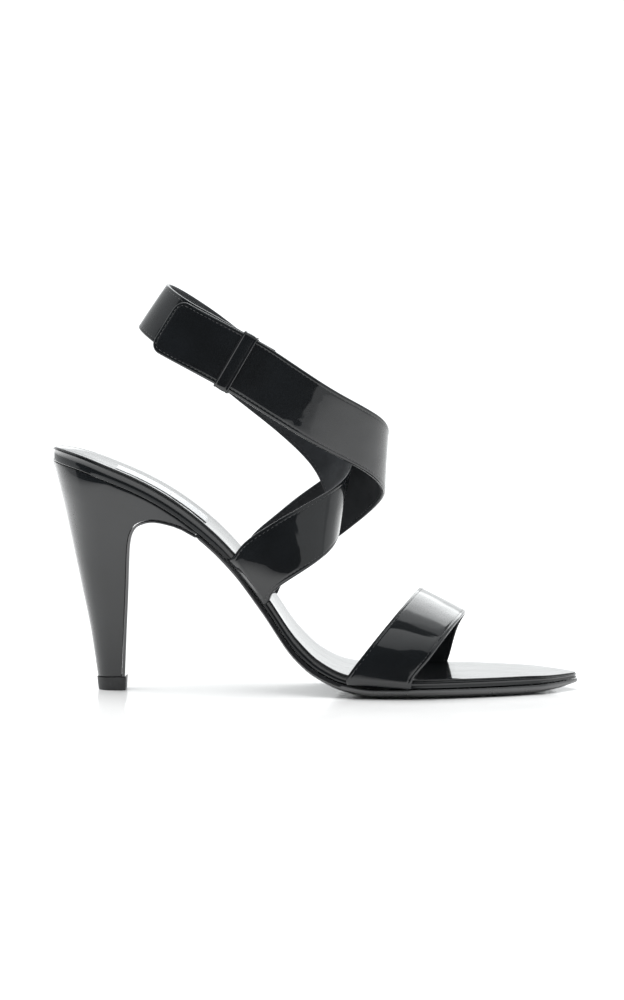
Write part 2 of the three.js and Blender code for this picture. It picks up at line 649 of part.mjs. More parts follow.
// The keeper: a flat loop round both straps at the closure
function keeperLoop() {
  const middle = outerPath.length - keeperFromEnd;
  const line = outerPath.at(middle);
  const facing = strapFacing(outerPath, middle, 0);
  const ahead = facing.clone().cross(line.up).normalize();
  const holeWidth = closureWidth + 2 * clearance;
  const holeDepth = 2 * strapThickness + 4 * clearance;
  const frame = (width, depth) => {
    const shape = new THREE.Shape();
    shape.moveTo(-width / 2, -depth / 2);
    shape.lineTo(width / 2, -depth / 2);
    shape.lineTo(width / 2, depth / 2);
    shape.lineTo(-width / 2, depth / 2);
    shape.closePath();
    return shape;
  };
  const shape = frame(holeWidth + 2 * keeperThickness, holeDepth + 2 * keeperThickness);
  shape.holes.push(frame(holeWidth, holeDepth));
  const geometry = new THREE.ExtrudeGeometry(shape, { depth: keeperWidth, bevelEnabled: false });
  geometry.deleteAttribute('normal');
  geometry.deleteAttribute('uv');
  geometry.translate(0, 0, -keeperWidth / 2);
  const centre = line.centre.clone().addScaledVector(facing, (strapThickness + clearance) / 2);
  const basis = new THREE.Matrix4().makeBasis(line.up, facing, line.up.clone().cross(facing));
  geometry.applyMatrix4(basis.setPosition(centre));
  return closed(geometry);
}

// Materials
const patent = { color: 0x0b0c0e, roughness: 0.08, metalness: 0 };
const colours = {
  outsole: { color: 0x101214, roughness: 0.28, metalness: 0 },
  heel: patent,
  heel_top_piece: { color: 0x1a1b1c, roughness: 0.75, metalness: 0 },
  insole: patent,
  sock_lining: { color: 0x17181a, roughness: 0.22, metalness: 0 },
  sock_label: { color: 0xc9cbcc, roughness: 0.35, metalness: 0.4 },
  toe_strap: patent,
  ankle_strap_inner: patent,
  ankle_strap_outer: patent,
  keeper_loop: patent,
};

// The insole is recessed where the straps' ends run under and round its edge
function recessedInsole() {
  let body = toManifold(insole());
  const toeStart = toeDistances.slice(1, 8);
  const toeEnd = toeDistances.slice(-8, -1);
  const recesses = [
    [toePath, [-clearance, ...toeStart], 1],
    [toePath, [...toeEnd, toePath.length + clearance], 1],
    [innerPath, [-clearance, ...innerDistances.slice(1, 9)], 1],
    [outerPath, [-clearance, ...outerDistances.slice(1, 9)], -1],
  ];
  for (const [path, distances, outward] of recesses) {
    const cutter = strapBody(path, distances, outward, 0, clearance, strapThickness);
    body = body.subtract(toManifold(cutter));
  }
  return fromManifold(body);
}

const shoe = new THREE.Group();
function addPiece(name, geometry) {
  const mesh = new THREE.Mesh(geometry, new THREE.MeshStandardMaterial(colours[name]));
  mesh.name = name;
  shoe.add(mesh);
}

addPiece('outsole', outsole());
addPiece('heel', heel());
addPiece('heel_top_piece', heelTopPiece());
addPiece('insole', recessedInsole());
addPiece('sock_lining', sockLining());
addPiece('sock_label', sockLabel());
addPiece('toe_strap', strapBody(toePath, toeDistances, 1));
addPiece('ankle_strap_inner', strapBody(innerPath, innerDistances, 1));
addPiece('ankle_strap_outer', strapBody(outerPath, outerDistances, -1, flapCorner));
addPiece('keeper_loop', keeperLoop());

// The origin is the middle of the bounding box, on the floor
const box = new THREE.Box3().setFromObject(shoe);
const group = new THREE.Group();
shoe.position.set(-(box.min.x + box.max.x) / 2, -(box.min.y + box.max.y) / 2, -box.min.z);
group.add(shoe);

export default group;
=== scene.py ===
import math
import bmesh
import bpy
from mathutils import Matrix, Vector


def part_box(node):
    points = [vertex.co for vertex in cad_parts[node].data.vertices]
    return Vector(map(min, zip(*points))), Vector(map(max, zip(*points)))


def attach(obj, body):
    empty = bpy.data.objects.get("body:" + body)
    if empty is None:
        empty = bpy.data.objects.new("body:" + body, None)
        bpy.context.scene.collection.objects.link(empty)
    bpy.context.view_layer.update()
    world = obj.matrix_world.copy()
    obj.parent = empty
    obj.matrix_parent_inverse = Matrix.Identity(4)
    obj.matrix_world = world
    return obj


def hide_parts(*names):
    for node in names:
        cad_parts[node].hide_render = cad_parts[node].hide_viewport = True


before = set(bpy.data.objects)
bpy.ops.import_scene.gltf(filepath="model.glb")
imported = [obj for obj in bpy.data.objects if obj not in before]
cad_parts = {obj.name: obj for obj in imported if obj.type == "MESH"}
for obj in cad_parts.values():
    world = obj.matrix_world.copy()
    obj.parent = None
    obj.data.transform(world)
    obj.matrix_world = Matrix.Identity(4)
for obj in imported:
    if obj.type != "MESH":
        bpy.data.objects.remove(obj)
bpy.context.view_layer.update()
mm = 0.001
gap = 0.3 * mm      # between pieces that lie against each other
mergeDistance = 0.002 * mm

# The shoe's own zero: back of the seat, middle of the heel, floor
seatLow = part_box("insole")[0]
tipLow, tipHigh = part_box("heel_top_piece")
shoeZero = Vector((seatLow.x, (tipLow.y + tipHigh.y) / 2, 0))
print("frame loaded, shoe zero at", [round(v, 4) for v in shoeZero])

# The last: columns of rows are forward, rise, outer, inner, lift, dish, board
last = {
    "length": 214 * mm, "ball": 75 * mm, "seatHeight": 94 * mm, "base": 4.2 * mm,
    "seatRound": 25 * mm, "toeRound": 17 * mm, "archLift": 1.2 * mm, "dish": 1.4 * mm,
    "heelBoard": 5.3 * mm, "toeBoard": 2.9 * mm,
    "rows": [
        (0.000, 1.000, 0.290, 0.316, 0.0, 1.0, 1.0),
        (0.056, 0.964, 0.315, 0.332, 0.0, 1.0, 1.0),
        (0.112, 0.914, 0.328, 0.338, 0.0, 1.0, 1.0),
        (0.171, 0.853, 0.333, 0.333, 0.1, 1.0, 1.0),
        (0.231, 0.771, 0.331, 0.316, 0.4, 1.0, 1.0),
        (0.303, 0.638, 0.328, 0.286, 0.9, 0.9, 1.0),
        (0.355, 0.512, 0.328, 0.274, 1.0, 0.8, 1.0),
        (0.409, 0.343, 0.340, 0.282, 1.0, 0.6, 0.95),
        (0.470, 0.142, 0.385, 0.315, 0.7, 0.4, 0.8),
        (0.510, 0.066, 0.425, 0.355, 0.4, 0.2, 0.35),
        (0.560, 0.018, 0.475, 0.415, 0.1, 0.0, 0.05),
        (0.615, 0.000, 0.505, 0.462, 0.0, 0.0, 0.0),
        (0.670, 0.000, 0.510, 0.490, 0.0, 0.0, 0.0),
        (0.725, 0.000, 0.485, 0.500, 0.0, 0.0, 0.0),
        (0.780, 0.000, 0.438, 0.492, 0.0, 0.0, 0.0),
        (0.840, 0.000, 0.372, 0.450, 0.0, 0.0, 0.0),
        (0.895, 0.000, 0.290, 0.380, 0.0, 0.0, 0.0),
        (0.950, 0.003, 0.195, 0.285, 0.0, 0.0, -0.25),
        (1.000, 0.008, 0.085, 0.145, 0.0, 0.0, -0.47),
    ],
}


def rowValue(rows, column, at):     # smooth value between rows, without overshoot
    low = 0
    while low < len(rows) - 2 and at > rows[low + 1][0]:
        low += 1

    def steepness(row):
        return (rows[row + 1][column] - rows[row][column]) / (rows[row + 1][0] - rows[row][0])

    def slope(row):
        if row == 0 or row == len(rows) - 1:
            return steepness(max(0, row - 1))
        before, after = steepness(row - 1), steepness(row)
        return 0 if before * after <= 0 else 2 * before * after / (before + after)

    span = rows[low + 1][0] - rows[low][0]
    part = min(max((at - rows[low][0]) / span, 0), 1)
    square, cube = part ** 2, part ** 3
    return (rows[low][column] * (2 * cube - 3 * square + 1)
            + rows[low + 1][column] * (3 * square - 2 * cube)
            + slope(low) * span * (cube - 2 * square + part)
            + slope(low + 1) * span * (cube - square))


def planEdge(x, side, inset=0.0):   # edge of the plan: side -1 outer, 1 inner
    share = x / last["length"]
    outer = last["ball"] * rowValue(last["rows"], 2, share)
    inner = last["ball"] * rowValue(last["rows"], 3, share)
    half = (inner + outer) / 2 - inset
    roundings = ((x - inset, last["seatRound"] - inset),
                 (last["length"] - inset - x, last["toeRound"] - inset))
    for distance, radius in roundings:
        if distance < radius:
            half *= 0 if distance < 1e-7 else math.sqrt(1 - ((radius - distance) / radius) ** 2)
    return (inner - outer) / 2 + side * half


def insoleUnder(x, across):
    share = x / last["length"]
    rise = rowValue(last["rows"], 1, share) * (last["seatHeight"] - last["base"])
    return last["base"] + rise + last["archLift"] * rowValue(last["rows"], 4, share) * (1 + across) / 2


def insoleTop(x, across):
    share = x / last["length"]
    dish = last["dish"] * rowValue(last["rows"], 5, share) * (1 - across * across)
    board = rowValue(last["rows"], 6, share)
    return insoleUnder(x, across) + last["toeBoard"] + board * (last["heelBoard"] - last["toeBoard"]) - dish


def acrossAt(x, y):
    outer, inner = planEdge(x, -1), planEdge(x, 1)
    return 1.0 if inner - outer < 1e-7 else (2 * y - outer - inner) / (inner - outer)


def blend(first, second, share):
    return first + (second - first) * share


def cosineStep(share):              # closer steps at both round ends
    return (1 - math.cos(math.pi * share)) / 2


# Node helpers
def newMaterial(name):
    material = bpy.data.materials.new(name)
    material.use_nodes = True
    tree = material.node_tree
    return material, tree, tree.nodes["Principled BSDF"]


def setInputs(tree, node, values):      # a socket is linked, a number is set
    for key, value in values.items():
        if isinstance(value, bpy.types.NodeSocket):
            tree.links.new(value, node.inputs[key])
        else:
            node.inputs[key].default_value = value


def addNode(tree, kind, settings=None, inputs=None):
    node = tree.nodes.new(kind)
    for key, value in (settings or {}).items():
        setattr(node, key, value)
    setInputs(tree, node, inputs or {})
    return node


def noiseOn(tree, scale, detail=2.0, roughness=0.5, stretch=(1, 1, 1)):
    place = addNode(tree, "ShaderNodeTexCoord").outputs["Object"]
    if stretch != (1, 1, 1):
        stretched = addNode(tree, "ShaderNodeMapping", inputs={"Vector": place, "Scale": stretch})
        place = stretched.outputs["Vector"]
    return addNode(tree, "ShaderNodeTexNoise",
                   inputs={"Vector": place, "Scale": scale, "Detail": detail, "Roughness": roughness})


def rampOn(tree, source, low, high, first, second):
    spread = addNode(tree, "ShaderNodeMapRange",
                     inputs={"Value": source, "From Min": low, "From Max": high,
                             "To Min": first, "To Max": second})
    return spread.outputs["Result"]


def bumpOn(tree, height, distance, before=None):
    inputs = {"Height": height, "Distance": distance, "Strength": 1.0}
    if before is not None:
        inputs["Normal"] = before
    return addNode(tree, "ShaderNodeBump", inputs=inputs).outputs["Normal"]


def mixColour(tree, factor, first, second):
    mix = addNode(tree, "ShaderNodeMix", {"data_type": "RGBA"}, {"Factor": factor})
    mix.inputs["A"].default_value = first
    mix.inputs["B"].default_value = second
    return mix.outputs["Result"]


# Patent leather: black film with a clear coat, slightly wavy
patentLook = {"colour": (0.0045, 0.0056, 0.0068, 1), "deep": (0.003, 0.0038, 0.0046, 1),
              "coatRoughness": 0.012, "coatIor": 1.5, "specular": 0.08, "roughness": (0.3, 0.42),
              "wave": 0.4 * mm, "waveScale": 75, "ripple": 0.012 * mm, "rippleScale": 420,
              "dustScale": 900, "stretchedWaves": 0.35}


def patentLeather(name, waves=1.0):
    material, tree, shader = newMaterial(name)
    wave = noiseOn(tree, patentLook["waveScale"], 1.0, 0.4)
    ripple = noiseOn(tree, patentLook["rippleScale"], 2.0)
    wavy = bumpOn(tree, wave.outputs["Fac"], patentLook["wave"] * waves)
    normal = bumpOn(tree, ripple.outputs["Fac"], patentLook["ripple"], wavy)
    colour = mixColour(tree, rampOn(tree, wave.outputs["Fac"], 0.35, 0.65, 0, 1),
                       patentLook["colour"], patentLook["deep"])
    dust = noiseOn(tree, patentLook["dustScale"], 4.0)
    dull = rampOn(tree, dust.outputs["Fac"], 0.4, 0.75, *patentLook["roughness"])
    setInputs(tree, shader, {"Base Color": colour, "Normal": normal, "Coat Normal": normal,
                             "Roughness": dull, "Specular IOR Level": patentLook["specular"],
                             "Coat Weight": 1.0, "Coat Roughness": patentLook["coatRoughness"],
                             "Coat IOR": patentLook["coatIor"]})
    return material


# Lining: smooth dyed kid leather with fine pores
liningLook = {"colour": (0.02, 0.022, 0.025, 1), "pore": (0.013, 0.0145, 0.0165, 1),
              "grain": 0.05 * mm, "fineGrain": 0.03 * mm, "poreScale": 2400, "cloudScale": 160,
              "roughness": (0.5, 0.64), "specular": 0.35}


def liningLeather(name):
    material, tree, shader = newMaterial(name)
    place = addNode(tree, "ShaderNodeTexCoord").outputs["Object"]
    cells = addNode(tree, "ShaderNodeTexVoronoi", {"feature": "F1"},
                    {"Vector": place, "Scale": liningLook["poreScale"]})
    cloud = noiseOn(tree, liningLook["cloudScale"], 4.0, 0.6)
    colour = mixColour(tree, rampOn(tree, cloud.outputs["Fac"], 0.35, 0.65, 0, 1),
                       liningLook["colour"], liningLook["pore"])
    fine = bumpOn(tree, cells.outputs["Distance"], liningLook["fineGrain"])
    normal = bumpOn(tree, cloud.outputs["Fac"], liningLook["grain"], fine)
    dull = rampOn(tree, cloud.outputs["Fac"], 0.3, 0.7, *liningLook["roughness"])
    setInputs(tree, shader, {"Base Color": colour, "Normal": normal, "Roughness": dull,
                             "Specular IOR Level": liningLook["specular"]})
    return material


# Thread: dark twisted fibre
threadLook = {"dark": (0.008, 0.0085, 0.009, 1), "light": (0.03, 0.031, 0.033, 1),
              "twistScale": 1400, "twist": 0.05 * mm, "roughness": 0.5, "sheen": 0.3}


def threadFibre(name):
    material, tree, shader = newMaterial(name)
    place = addNode(tree, "ShaderNodeTexCoord").outputs["Object"]
    twist = addNode(tree, "ShaderNodeTexWave", {"wave_type": "BANDS", "bands_direction": "DIAGONAL"},
                    {"Vector": place, "Scale": threadLook["twistScale"], "Distortion": 1.5})
    colour = mixColour(tree, twist.outputs["Fac"], threadLook["dark"], threadLook["light"])
    normal = bumpOn(tree, twist.outputs["Fac"], threadLook["twist"])
    setInputs(tree, shader, {"Base Color": colour, "Normal": normal, "Roughness": threadLook["roughness"],
                             "Sheen Weight": threadLook["sheen"]})
    return material


# Outsole leather: black, satin underneath, with faint long scuffs
soleLook = {"colour": (0.008, 0.0085, 0.0095, 1), "scuff": (0.03, 0.03, 0.031, 1),
            "scuffScale": 120, "scuffStretch": (0.25, 1.6, 1), "cloud": 0.12 * mm, "cloudScale": 45,
            "grain": 0.012 * mm, "grainScale": 1800, "roughness": (0.16, 0.34), "coatRoughness": 0.06}


def soleLeather(name):
    material, tree, shader = newMaterial(name)
    scuff = noiseOn(tree, soleLook["scuffScale"], 6.0, 0.65, soleLook["scuffStretch"])
    cloud = noiseOn(tree, soleLook["cloudScale"], 3.0)
    grain = noiseOn(tree, soleLook["grainScale"], 3.0)
    colour = mixColour(tree, rampOn(tree, scuff.outputs["Fac"], 0.62, 0.8, 0, 0.5),
                       soleLook["colour"], soleLook["scuff"])
    dull = rampOn(tree, scuff.outputs["Fac"], 0.4, 0.75, *soleLook["roughness"])
    slow = bumpOn(tree, cloud.outputs["Fac"], soleLook["cloud"])
    normal = bumpOn(tree, grain.outputs["Fac"], soleLook["grain"], slow)
    setInputs(tree, shader, {"Base Color": colour, "Normal": normal, "Roughness": dull,
                             "Coat Weight": 1.0, "Coat Roughness": soleLook["coatRoughness"]})
    return material


# Rubber under the heel: dark, matt, slightly worn
rubberLook = {"colour": (0.012, 0.0125, 0.013, 1), "worn": (0.026, 0.0265, 0.0275, 1),
              "grain": 0.05 * mm, "grainScale": 1500, "wornScale": 260, "roughness": (0.42, 0.62)}


def tipRubber(name):
    material, tree, shader = newMaterial(name)
    grain = noiseOn(tree, rubberLook["grainScale"], 4.0, 0.7)
    worn = noiseOn(tree, rubberLook["wornScale"], 5.0, 0.6)
    colour = mixColour(tree, rampOn(tree, worn.outputs["Fac"], 0.4, 0.7, 0, 1),
                       rubberLook["colour"], rubberLook["worn"])
    dull = rampOn(tree, worn.outputs["Fac"], 0.3, 0.7, *rubberLook["roughness"])
    normal = bumpOn(tree, grain.outputs["Fac"], rubberLook["grain"])
    setInputs(tree, shader, {"Base Color": colour, "Normal": normal, "Roughness": dull})
    return material


# Plate on the sock: fine brushed pale foil
foilLook = {"dark": (0.42, 0.43, 0.44, 1), "light": (0.6, 0.61, 0.62, 1), "brushScale": 900,
            "brushStretch": (0.04, 1, 1), "brush": 0.01 * mm, "roughness": (0.22, 0.36), "metal": 0.6}


def labelFoil(name):
    material, tree, shader = newMaterial(name)
    brushed = noiseOn(tree, foilLook["brushScale"], 3.0, 0.6, foilLook["brushStretch"])
    colour = mixColour(tree, brushed.outputs["Fac"], foilLook["dark"], foilLook["light"])
    dull = rampOn(tree, brushed.outputs["Fac"], 0.3, 0.7, *foilLook["roughness"])
    normal = bumpOn(tree, brushed.outputs["Fac"], foilLook["brush"])
    setInputs(tree, shader, {"Base Color": colour, "Normal": normal, "Roughness": dull,
                             "Metallic": foilLook["metal"]})
    return material


patent = patentLeather("blackPatent")
calmPatent = patentLeather("blackPatentStretched", patentLook["stretchedWaves"])
lining = liningLeather("liningKid")
thread = threadFibre("blackThread")
soleBlack = soleLeather("blackSoleLeather")
rubber = tipRubber("heelTipRubber")
foil = labelFoil("plainLabelFoil")
print("materials made")


# Mesh helpers
def gridPiece(bm, rows, columns, place, uvLayer=None, uvPlace=None, material=0):
    # a grid whose vertices are put by row and column number
    before = set(bm.verts)
    oldFaces = set(bm.faces)
    bmesh.ops.create_grid(bm, x_segments=rows - 1, y_segments=columns - 1, size=0.5)
    fresh = [v for v in bm.verts if v not in before]
    spots = {v: (round((v.co.x + 0.5) * (rows - 1)), round((v.co.y + 0.5) * (columns - 1))) for v in fresh}
    for face in bm.faces:
        if face not in oldFaces:
            face.material_index = material
            if uvLayer is not None:
                for corner in face.loops:
                    corner[uvLayer].uv = uvPlace(*spots[corner.vert])
    for vert, (row, column) in spots.items():
        vert.co = place(row, column)


def closeHoles(bm):
    bmesh.ops.remove_doubles(bm, verts=bm.verts, dist=mergeDistance)
    bmesh.ops.holes_fill(bm, edges=[e for e in bm.edges if e.is_boundary], sides=0)


def roundEdges(bm, sharp, size, segments):      # rounds the edges that turn more than the angle sharp
    bmesh.ops.recalc_face_normals(bm, faces=bm.faces)
    rims = [e for e in bm.edges if len(e.link_faces) == 2 and e.calc_face_angle(0) > sharp]
    bmesh.ops.bevel(bm, geom=rims, offset=size, offset_type="OFFSET", affect="EDGES",
                    segments=segments, profile=0.5, material=-1, clamp_overlap=True)


def finishPiece(bm, name, materials, node):
    bmesh.ops.translate(bm, verts=bm.verts, vec=shoeZero)
    bmesh.ops.recalc_face_normals(bm, faces=bm.faces)
    for face in bm.faces:
        face.smooth = True
    mesh = bpy.data.meshes.new(name)
    bm.to_mesh(mesh)
    bm.free()
    for material in materials:
        mesh.materials.append(material)
    piece = bpy.data.objects.new(name, mesh)
    bpy.context.scene.collection.objects.link(piece)
    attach(piece, "root")
    if node:
        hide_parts(node)
    print(name, len(mesh.vertices), "vertices")
    return piece


# Boards that follow the last, with rounded rims all the way round
def boardPiece(look, top, under):
    bm = bmesh.new()
    rim = [math.pi / 2 * i / look["rimSteps"] for i in range(look["rimSteps"] + 1)]
    rim = [(look["rim"] * (1 - math.sin(a)), look["rim"] * (1 - math.cos(a))) for a in rim]
    inner = [2 * i / (look["columns"] + 1) - 1 for i in range(1, look["columns"] + 1)]
    rim.append((look["rim"] + look["guard"], 0))      # a close line keeps the top's shading flat
    across = ([(-1, inset, drop) for inset, drop in rim] + [(share, look["rim"], 0) for share in inner]
              + [(1, inset, drop) for inset, drop in reversed(rim)])
    ring = [(*place, True) for place in across] + [(*place, False) for place in reversed(across)]
    ring.append(ring[0])

    def around(row, column):
        share, inset, drop, upper = ring[column]
        inset += look["inset"]
        x = inset + (last["length"] - 2 * inset) * cosineStep(row / (look["rows"] - 1))
        y = blend(planEdge(x, -1, inset), planEdge(x, 1, inset), (1 + share) / 2)
        return Vector((x, y, top(x, y) - drop if upper else under(x, y) + drop))

    gridPiece(bm, look["rows"], len(ring), around)
    bmesh.ops.remove_doubles(bm, verts=bm.verts, dist=1e-6)
    return bm


def boardTop(x, y):
    return insoleTop(x, acrossAt(x, y))


def boardUnder(x, y):
    return insoleUnder(x, acrossAt(x, y))


# Insole board wrapped in patent leather
insoleLook = {"rows": 150, "columns": 24, "rim": 0.45 * mm, "rimSteps": 5, "guard": 0.05 * mm, "inset": 0}


def makeInsole():
    bm = boardPiece(insoleLook, boardTop, boardUnder)
    return finishPiece(bm, "insoleCovered", [calmPatent], "insole")


# Sock lining, laid on the insole
sockLook = {"rows": 150, "columns": 24, "rim": 0.25 * mm, "rimSteps": 4, "guard": 0.05 * mm,
            "inset": 0.5 * mm, "heel": 1.1 * mm, "toe": 0.55 * mm, "rest": 0.05 * mm}


def sockTop(x, y):                  # thinner towards the toe
    share = min(x / last["length"], 1)
    return boardTop(x, y) + blend(sockLook["heel"], sockLook["toe"], share * share)


def makeSock():
    bm = boardPiece(sockLook, sockTop, lambda x, y: boardTop(x, y) + sockLook["rest"])
    return finishPiece(bm, "sockLining", [calmPatent], "sock_lining")


# Bare label plate on the sock
labelLook = {"back": 26 * mm, "length": 37 * mm, "width": 20 * mm, "thickness": 0.4 * mm,
             "rim": 0.15 * mm, "sharp": 0.9, "rows": 60, "columns": 34}


def makeLabel():
    bm = bmesh.new()
    rows, columns = labelLook["rows"], labelLook["columns"]

    def onFace(row, column, low):
        x = labelLook["back"] + labelLook["length"] * row / (rows - 1)
        middle = (planEdge(x, -1) + planEdge(x, 1)) / 2
        y = middle + labelLook["width"] * (column / (columns - 1) - 0.5)
        return Vector((x, y, sockTop(x, y) + gap + (0 if low else labelLook["thickness"])))

    gridPiece(bm, rows, columns, lambda row, column: onFace(row, column, False))
    gridPiece(bm, rows, columns, lambda row, column: onFace(row, column, True))
    bmesh.ops.bridge_loops(bm, edges=[e for e in bm.edges if e.is_boundary])
    roundEdges(bm, labelLook["sharp"], labelLook["rim"], 3)
    return finishPiece(bm, "sockLabel", [foil], "sock_label")


# Heel: columns of rows are climb, back, backUp, breast, breastUp, half, follow
heelShape = {
    "top": 60 * mm, "foot": 5.8 * mm, "turn": math.radians(2), "roundShare": 0.55,
    "rim": 0.55 * mm, "sharp": 0.75,
    "rows": [
        (0.00, 0.300, 0.000, 0.470, 0.000, 0.250, 0.00),
        (0.20, 0.252, 0.218, 0.487, 0.217, 0.355, 0.00),
        (0.38, 0.198, 0.400, 0.503, 0.397, 0.465, 0.00),
        (0.52, 0.150, 0.558, 0.512, 0.510, 0.555, 0.00),
        (0.64, 0.112, 0.683, 0.521, 0.600, 0.645, 0.02),
        (0.74, 0.080, 0.785, 0.540, 0.668, 0.735, 0.08),
        (0.82, 0.054, 0.858, 0.590, 0.720, 0.805, 0.22),
        (0.89, 0.033, 0.915, 0.705, 0.743, 0.870, 0.48),
        (0.95, 0.015, 0.961, 0.855, 0.722, 0.930, 0.78),
        (1.00, 0.000, 1.000, 1.000, 0.670, 1.000, 1.00),
    ],
    "rowCount": 120, "roundCount": 30, "flatCount": 12, "breastCount": 9,
}


def heelPoint(climb, along, side):
    values = [rowValue(heelShape["rows"], column, climb) for column in range(1, 7)]
    back, backUp, breast, breastUp, half, follow = values
    top, foot = heelShape["top"], heelShape["foot"]
    reach = insoleUnder(0, 0) - gap - foot

    def seat(part):
        return insoleUnder(part * top, side) - gap

    topChord = blend(seat(0), seat(1), along)
    bulge = seat(along) - topChord
    chord = blend(foot + backUp * reach, foot + breastUp * reach, along)
    rounding = math.sqrt(1 - (1 - min(along / heelShape["roundShare"], 1)) ** 2)
    y = blend(side * last["seatRound"] * half * rounding, planEdge(along * top, side, gap), follow)
    x = top * blend(back, breast, along) + along * y * math.tan(heelShape["turn"]) * (1 - follow)
    return Vector((x, y, topChord + bulge if climb >= 1 else chord + follow * bulge))


def heelRing():                     # along and side of each point from breast round the back to breast
    flat = heelShape["roundShare"]
    straight = [1 - (1 - flat) * i / heelShape["flatCount"] for i in range(heelShape["flatCount"])]
    count = heelShape["roundCount"]
    bent = [flat * (1 - math.cos(math.pi / 2 * (1 - i / count))) for i in range(count)]
    half = straight + bent
    return [(a, -1) for a in half] + [(0.0, 1)] + [(a, 1) for a in reversed(half)]


def makeHeel():
    bm = bmesh.new()
    ring = heelRing()
    rows = heelShape["rowCount"]

    def onSide(row, column):
        along, side = ring[column]
        return heelPoint(row / (rows - 1), along, side)

    gridPiece(bm, rows, len(ring), onSide)
    closeBreast(bm, rows)
    roundEdges(bm, heelShape["sharp"], heelShape["rim"], 3)
    return finishPiece(bm, "heelCovered", [calmPatent], "heel")


def closeBreast(bm, rows):          # breast face between the two side lines, then top and foot
    columns = heelShape["breastCount"]

    def onBreast(row, column):
        climb = row / (rows - 1)
        return heelPoint(climb, 1, -1).lerp(heelPoint(climb, 1, 1), column / (columns - 1))

    gridPiece(bm, rows, columns, onBreast)
    closeHoles(bm)


# Rubber top piece under the heel
tipLook = {"height": 5.5 * mm, "proud": 0.25 * mm, "taper": 0.6 * mm, "flap": 1.2 * mm,
           "corner": 0.4 * mm, "levels": 14}


def makeTopPiece():
    bm = bmesh.new()
    ring = heelRing()
    row = heelShape["rows"][0]
    back = heelShape["top"] * row[1] - tipLook["proud"]
    front = heelShape["top"] * row[3] + gap + tipLook["flap"] + tipLook["proud"]
    half = last["seatRound"] * row[5] + tipLook["proud"]
    levels = tipLook["levels"]
    columns = heelShape["breastCount"]

    def onSide(level, column):
        along, side = ring[column]
        share = level / (levels - 1)
        taper = tipLook["taper"] * (1 - share)
        rounding = math.sqrt(1 - (1 - min(along / heelShape["roundShare"], 1)) ** 2)
        x = blend(back + taper, front - taper / 2, along)
        return Vector((x, side * (half - taper / 2) * rounding, tipLook["height"] * share))

    gridPiece(bm, levels, len(ring), onSide)

    def onFront(level, column):
        return onSide(level, 0).lerp(onSide(level, len(ring) - 1), column / (columns - 1))

    gridPiece(bm, levels, columns, onFront)
    closeHoles(bm)
    roundEdges(bm, heelShape["sharp"], tipLook["corner"], 3)
    return finishPiece(bm, "heelTopPiece", [rubber], "heel_top_piece")


# Outsole with its flap: columns of rows are forward, depth, flat, margin
soleShape = {
    "thickness": 3.9 * mm, "edge": 1.5 * mm, "margin": 0.9 * mm, "tipMargin": 0.27 * mm,
    "flap": 1.2 * mm, "flapFlat": 0.9, "flapEdge": 0.96 * mm, "flapFoot": 0.995, "start": 60 * mm,
    "rim": 0.25 * mm, "sharp": 0.8,
    "rows": [
        (0.280, 0.42, 0.30, 0.0),
        (0.340, 0.62, 0.05, 0.0),
        (0.430, 0.85, 0.02, 0.0),
        (0.510, 0.98, 0.10, 0.2),
        (0.560, 1.00, 0.45, 0.5),
        (0.615, 1.00, 0.74, 1.0),
        (0.890, 1.00, 0.74, 1.0),
        (0.955, 0.76, 0.66, 0.8),
        (1.010, 0.24, 0.50, 0.35),
    ],
    "stationCount": 150, "flapCount": 90, "half": 16,
}


def soleStations():
    tip = last["length"] + soleShape["tipMargin"]
    stations = []
    for i in range(soleShape["stationCount"]):
        x = tip - (tip - soleShape["start"]) * (i / (soleShape["stationCount"] - 1)) ** 1.5
        depth, flat, margin = [rowValue(soleShape["rows"], c, x / last["length"]) for c in (1, 2, 3)]
        inset = -soleShape["margin"] * margin
        onLast = min(x, last["length"])
        outer = Vector((x, planEdge(x, -1, inset), insoleUnder(onLast, -1)))
        inner = Vector((x, planEdge(x, 1, inset), insoleUnder(onLast, 1)))
        stations.append((outer, inner, soleShape["thickness"] * depth, flat, soleShape["edge"]))
    for i in range(soleShape["flapCount"]):
        climb = soleShape["flapFoot"] * (1 - (i / (soleShape["flapCount"] - 1)) ** 0.8)
        stations.append((heelPoint(climb, 1, -1), heelPoint(climb, 1, 1),
                         soleShape["flap"], soleShape["flapFlat"], soleShape["flapEdge"]))
    return stations


def makeOutsole():
    bm = bmesh.new()
    stations = soleStations()
    middle = [(s[0] + s[1]) / 2 for s in stations]
    half = soleShape["half"]
    across = [math.sin(math.pi / 2 * (2 * i / half - 1)) for i in range(half + 1)]
    ring = [(v, True) for v in across] + [(v, False) for v in reversed(across)]
    ring.append(ring[0])

    def around(row, column):
        outer, inner, depth, flat, edge = stations[row]
        ahead = middle[min(row + 1, len(middle) - 1)] - middle[max(row - 1, 0)]
        ahead.y = 0
        ahead.normalize()
        down = Vector((-ahead.z, 0, ahead.x))
        v, upper = ring[column]
        point = outer.lerp(inner, (v + 1) / 2)
        if upper:
            return point + down * gap
        edgeDepth = min(edge, depth * 0.9)
        beyond = max(0, (abs(v) - flat) / (1 - flat))
        return point + down * (gap + edgeDepth + (depth - edgeDepth) * math.sqrt(max(0, 1 - beyond ** 2)))

    gridPiece(bm, len(stations), len(ring), around)
    closeHoles(bm)
    bmesh.ops.dissolve_degenerate(bm, edges=bm.edges, dist=mergeDistance / 2)
    roundEdges(bm, soleShape["sharp"], soleShape["rim"], 2)
    return finishPiece(bm, "outsoleLeather", [soleBlack], "outsole")


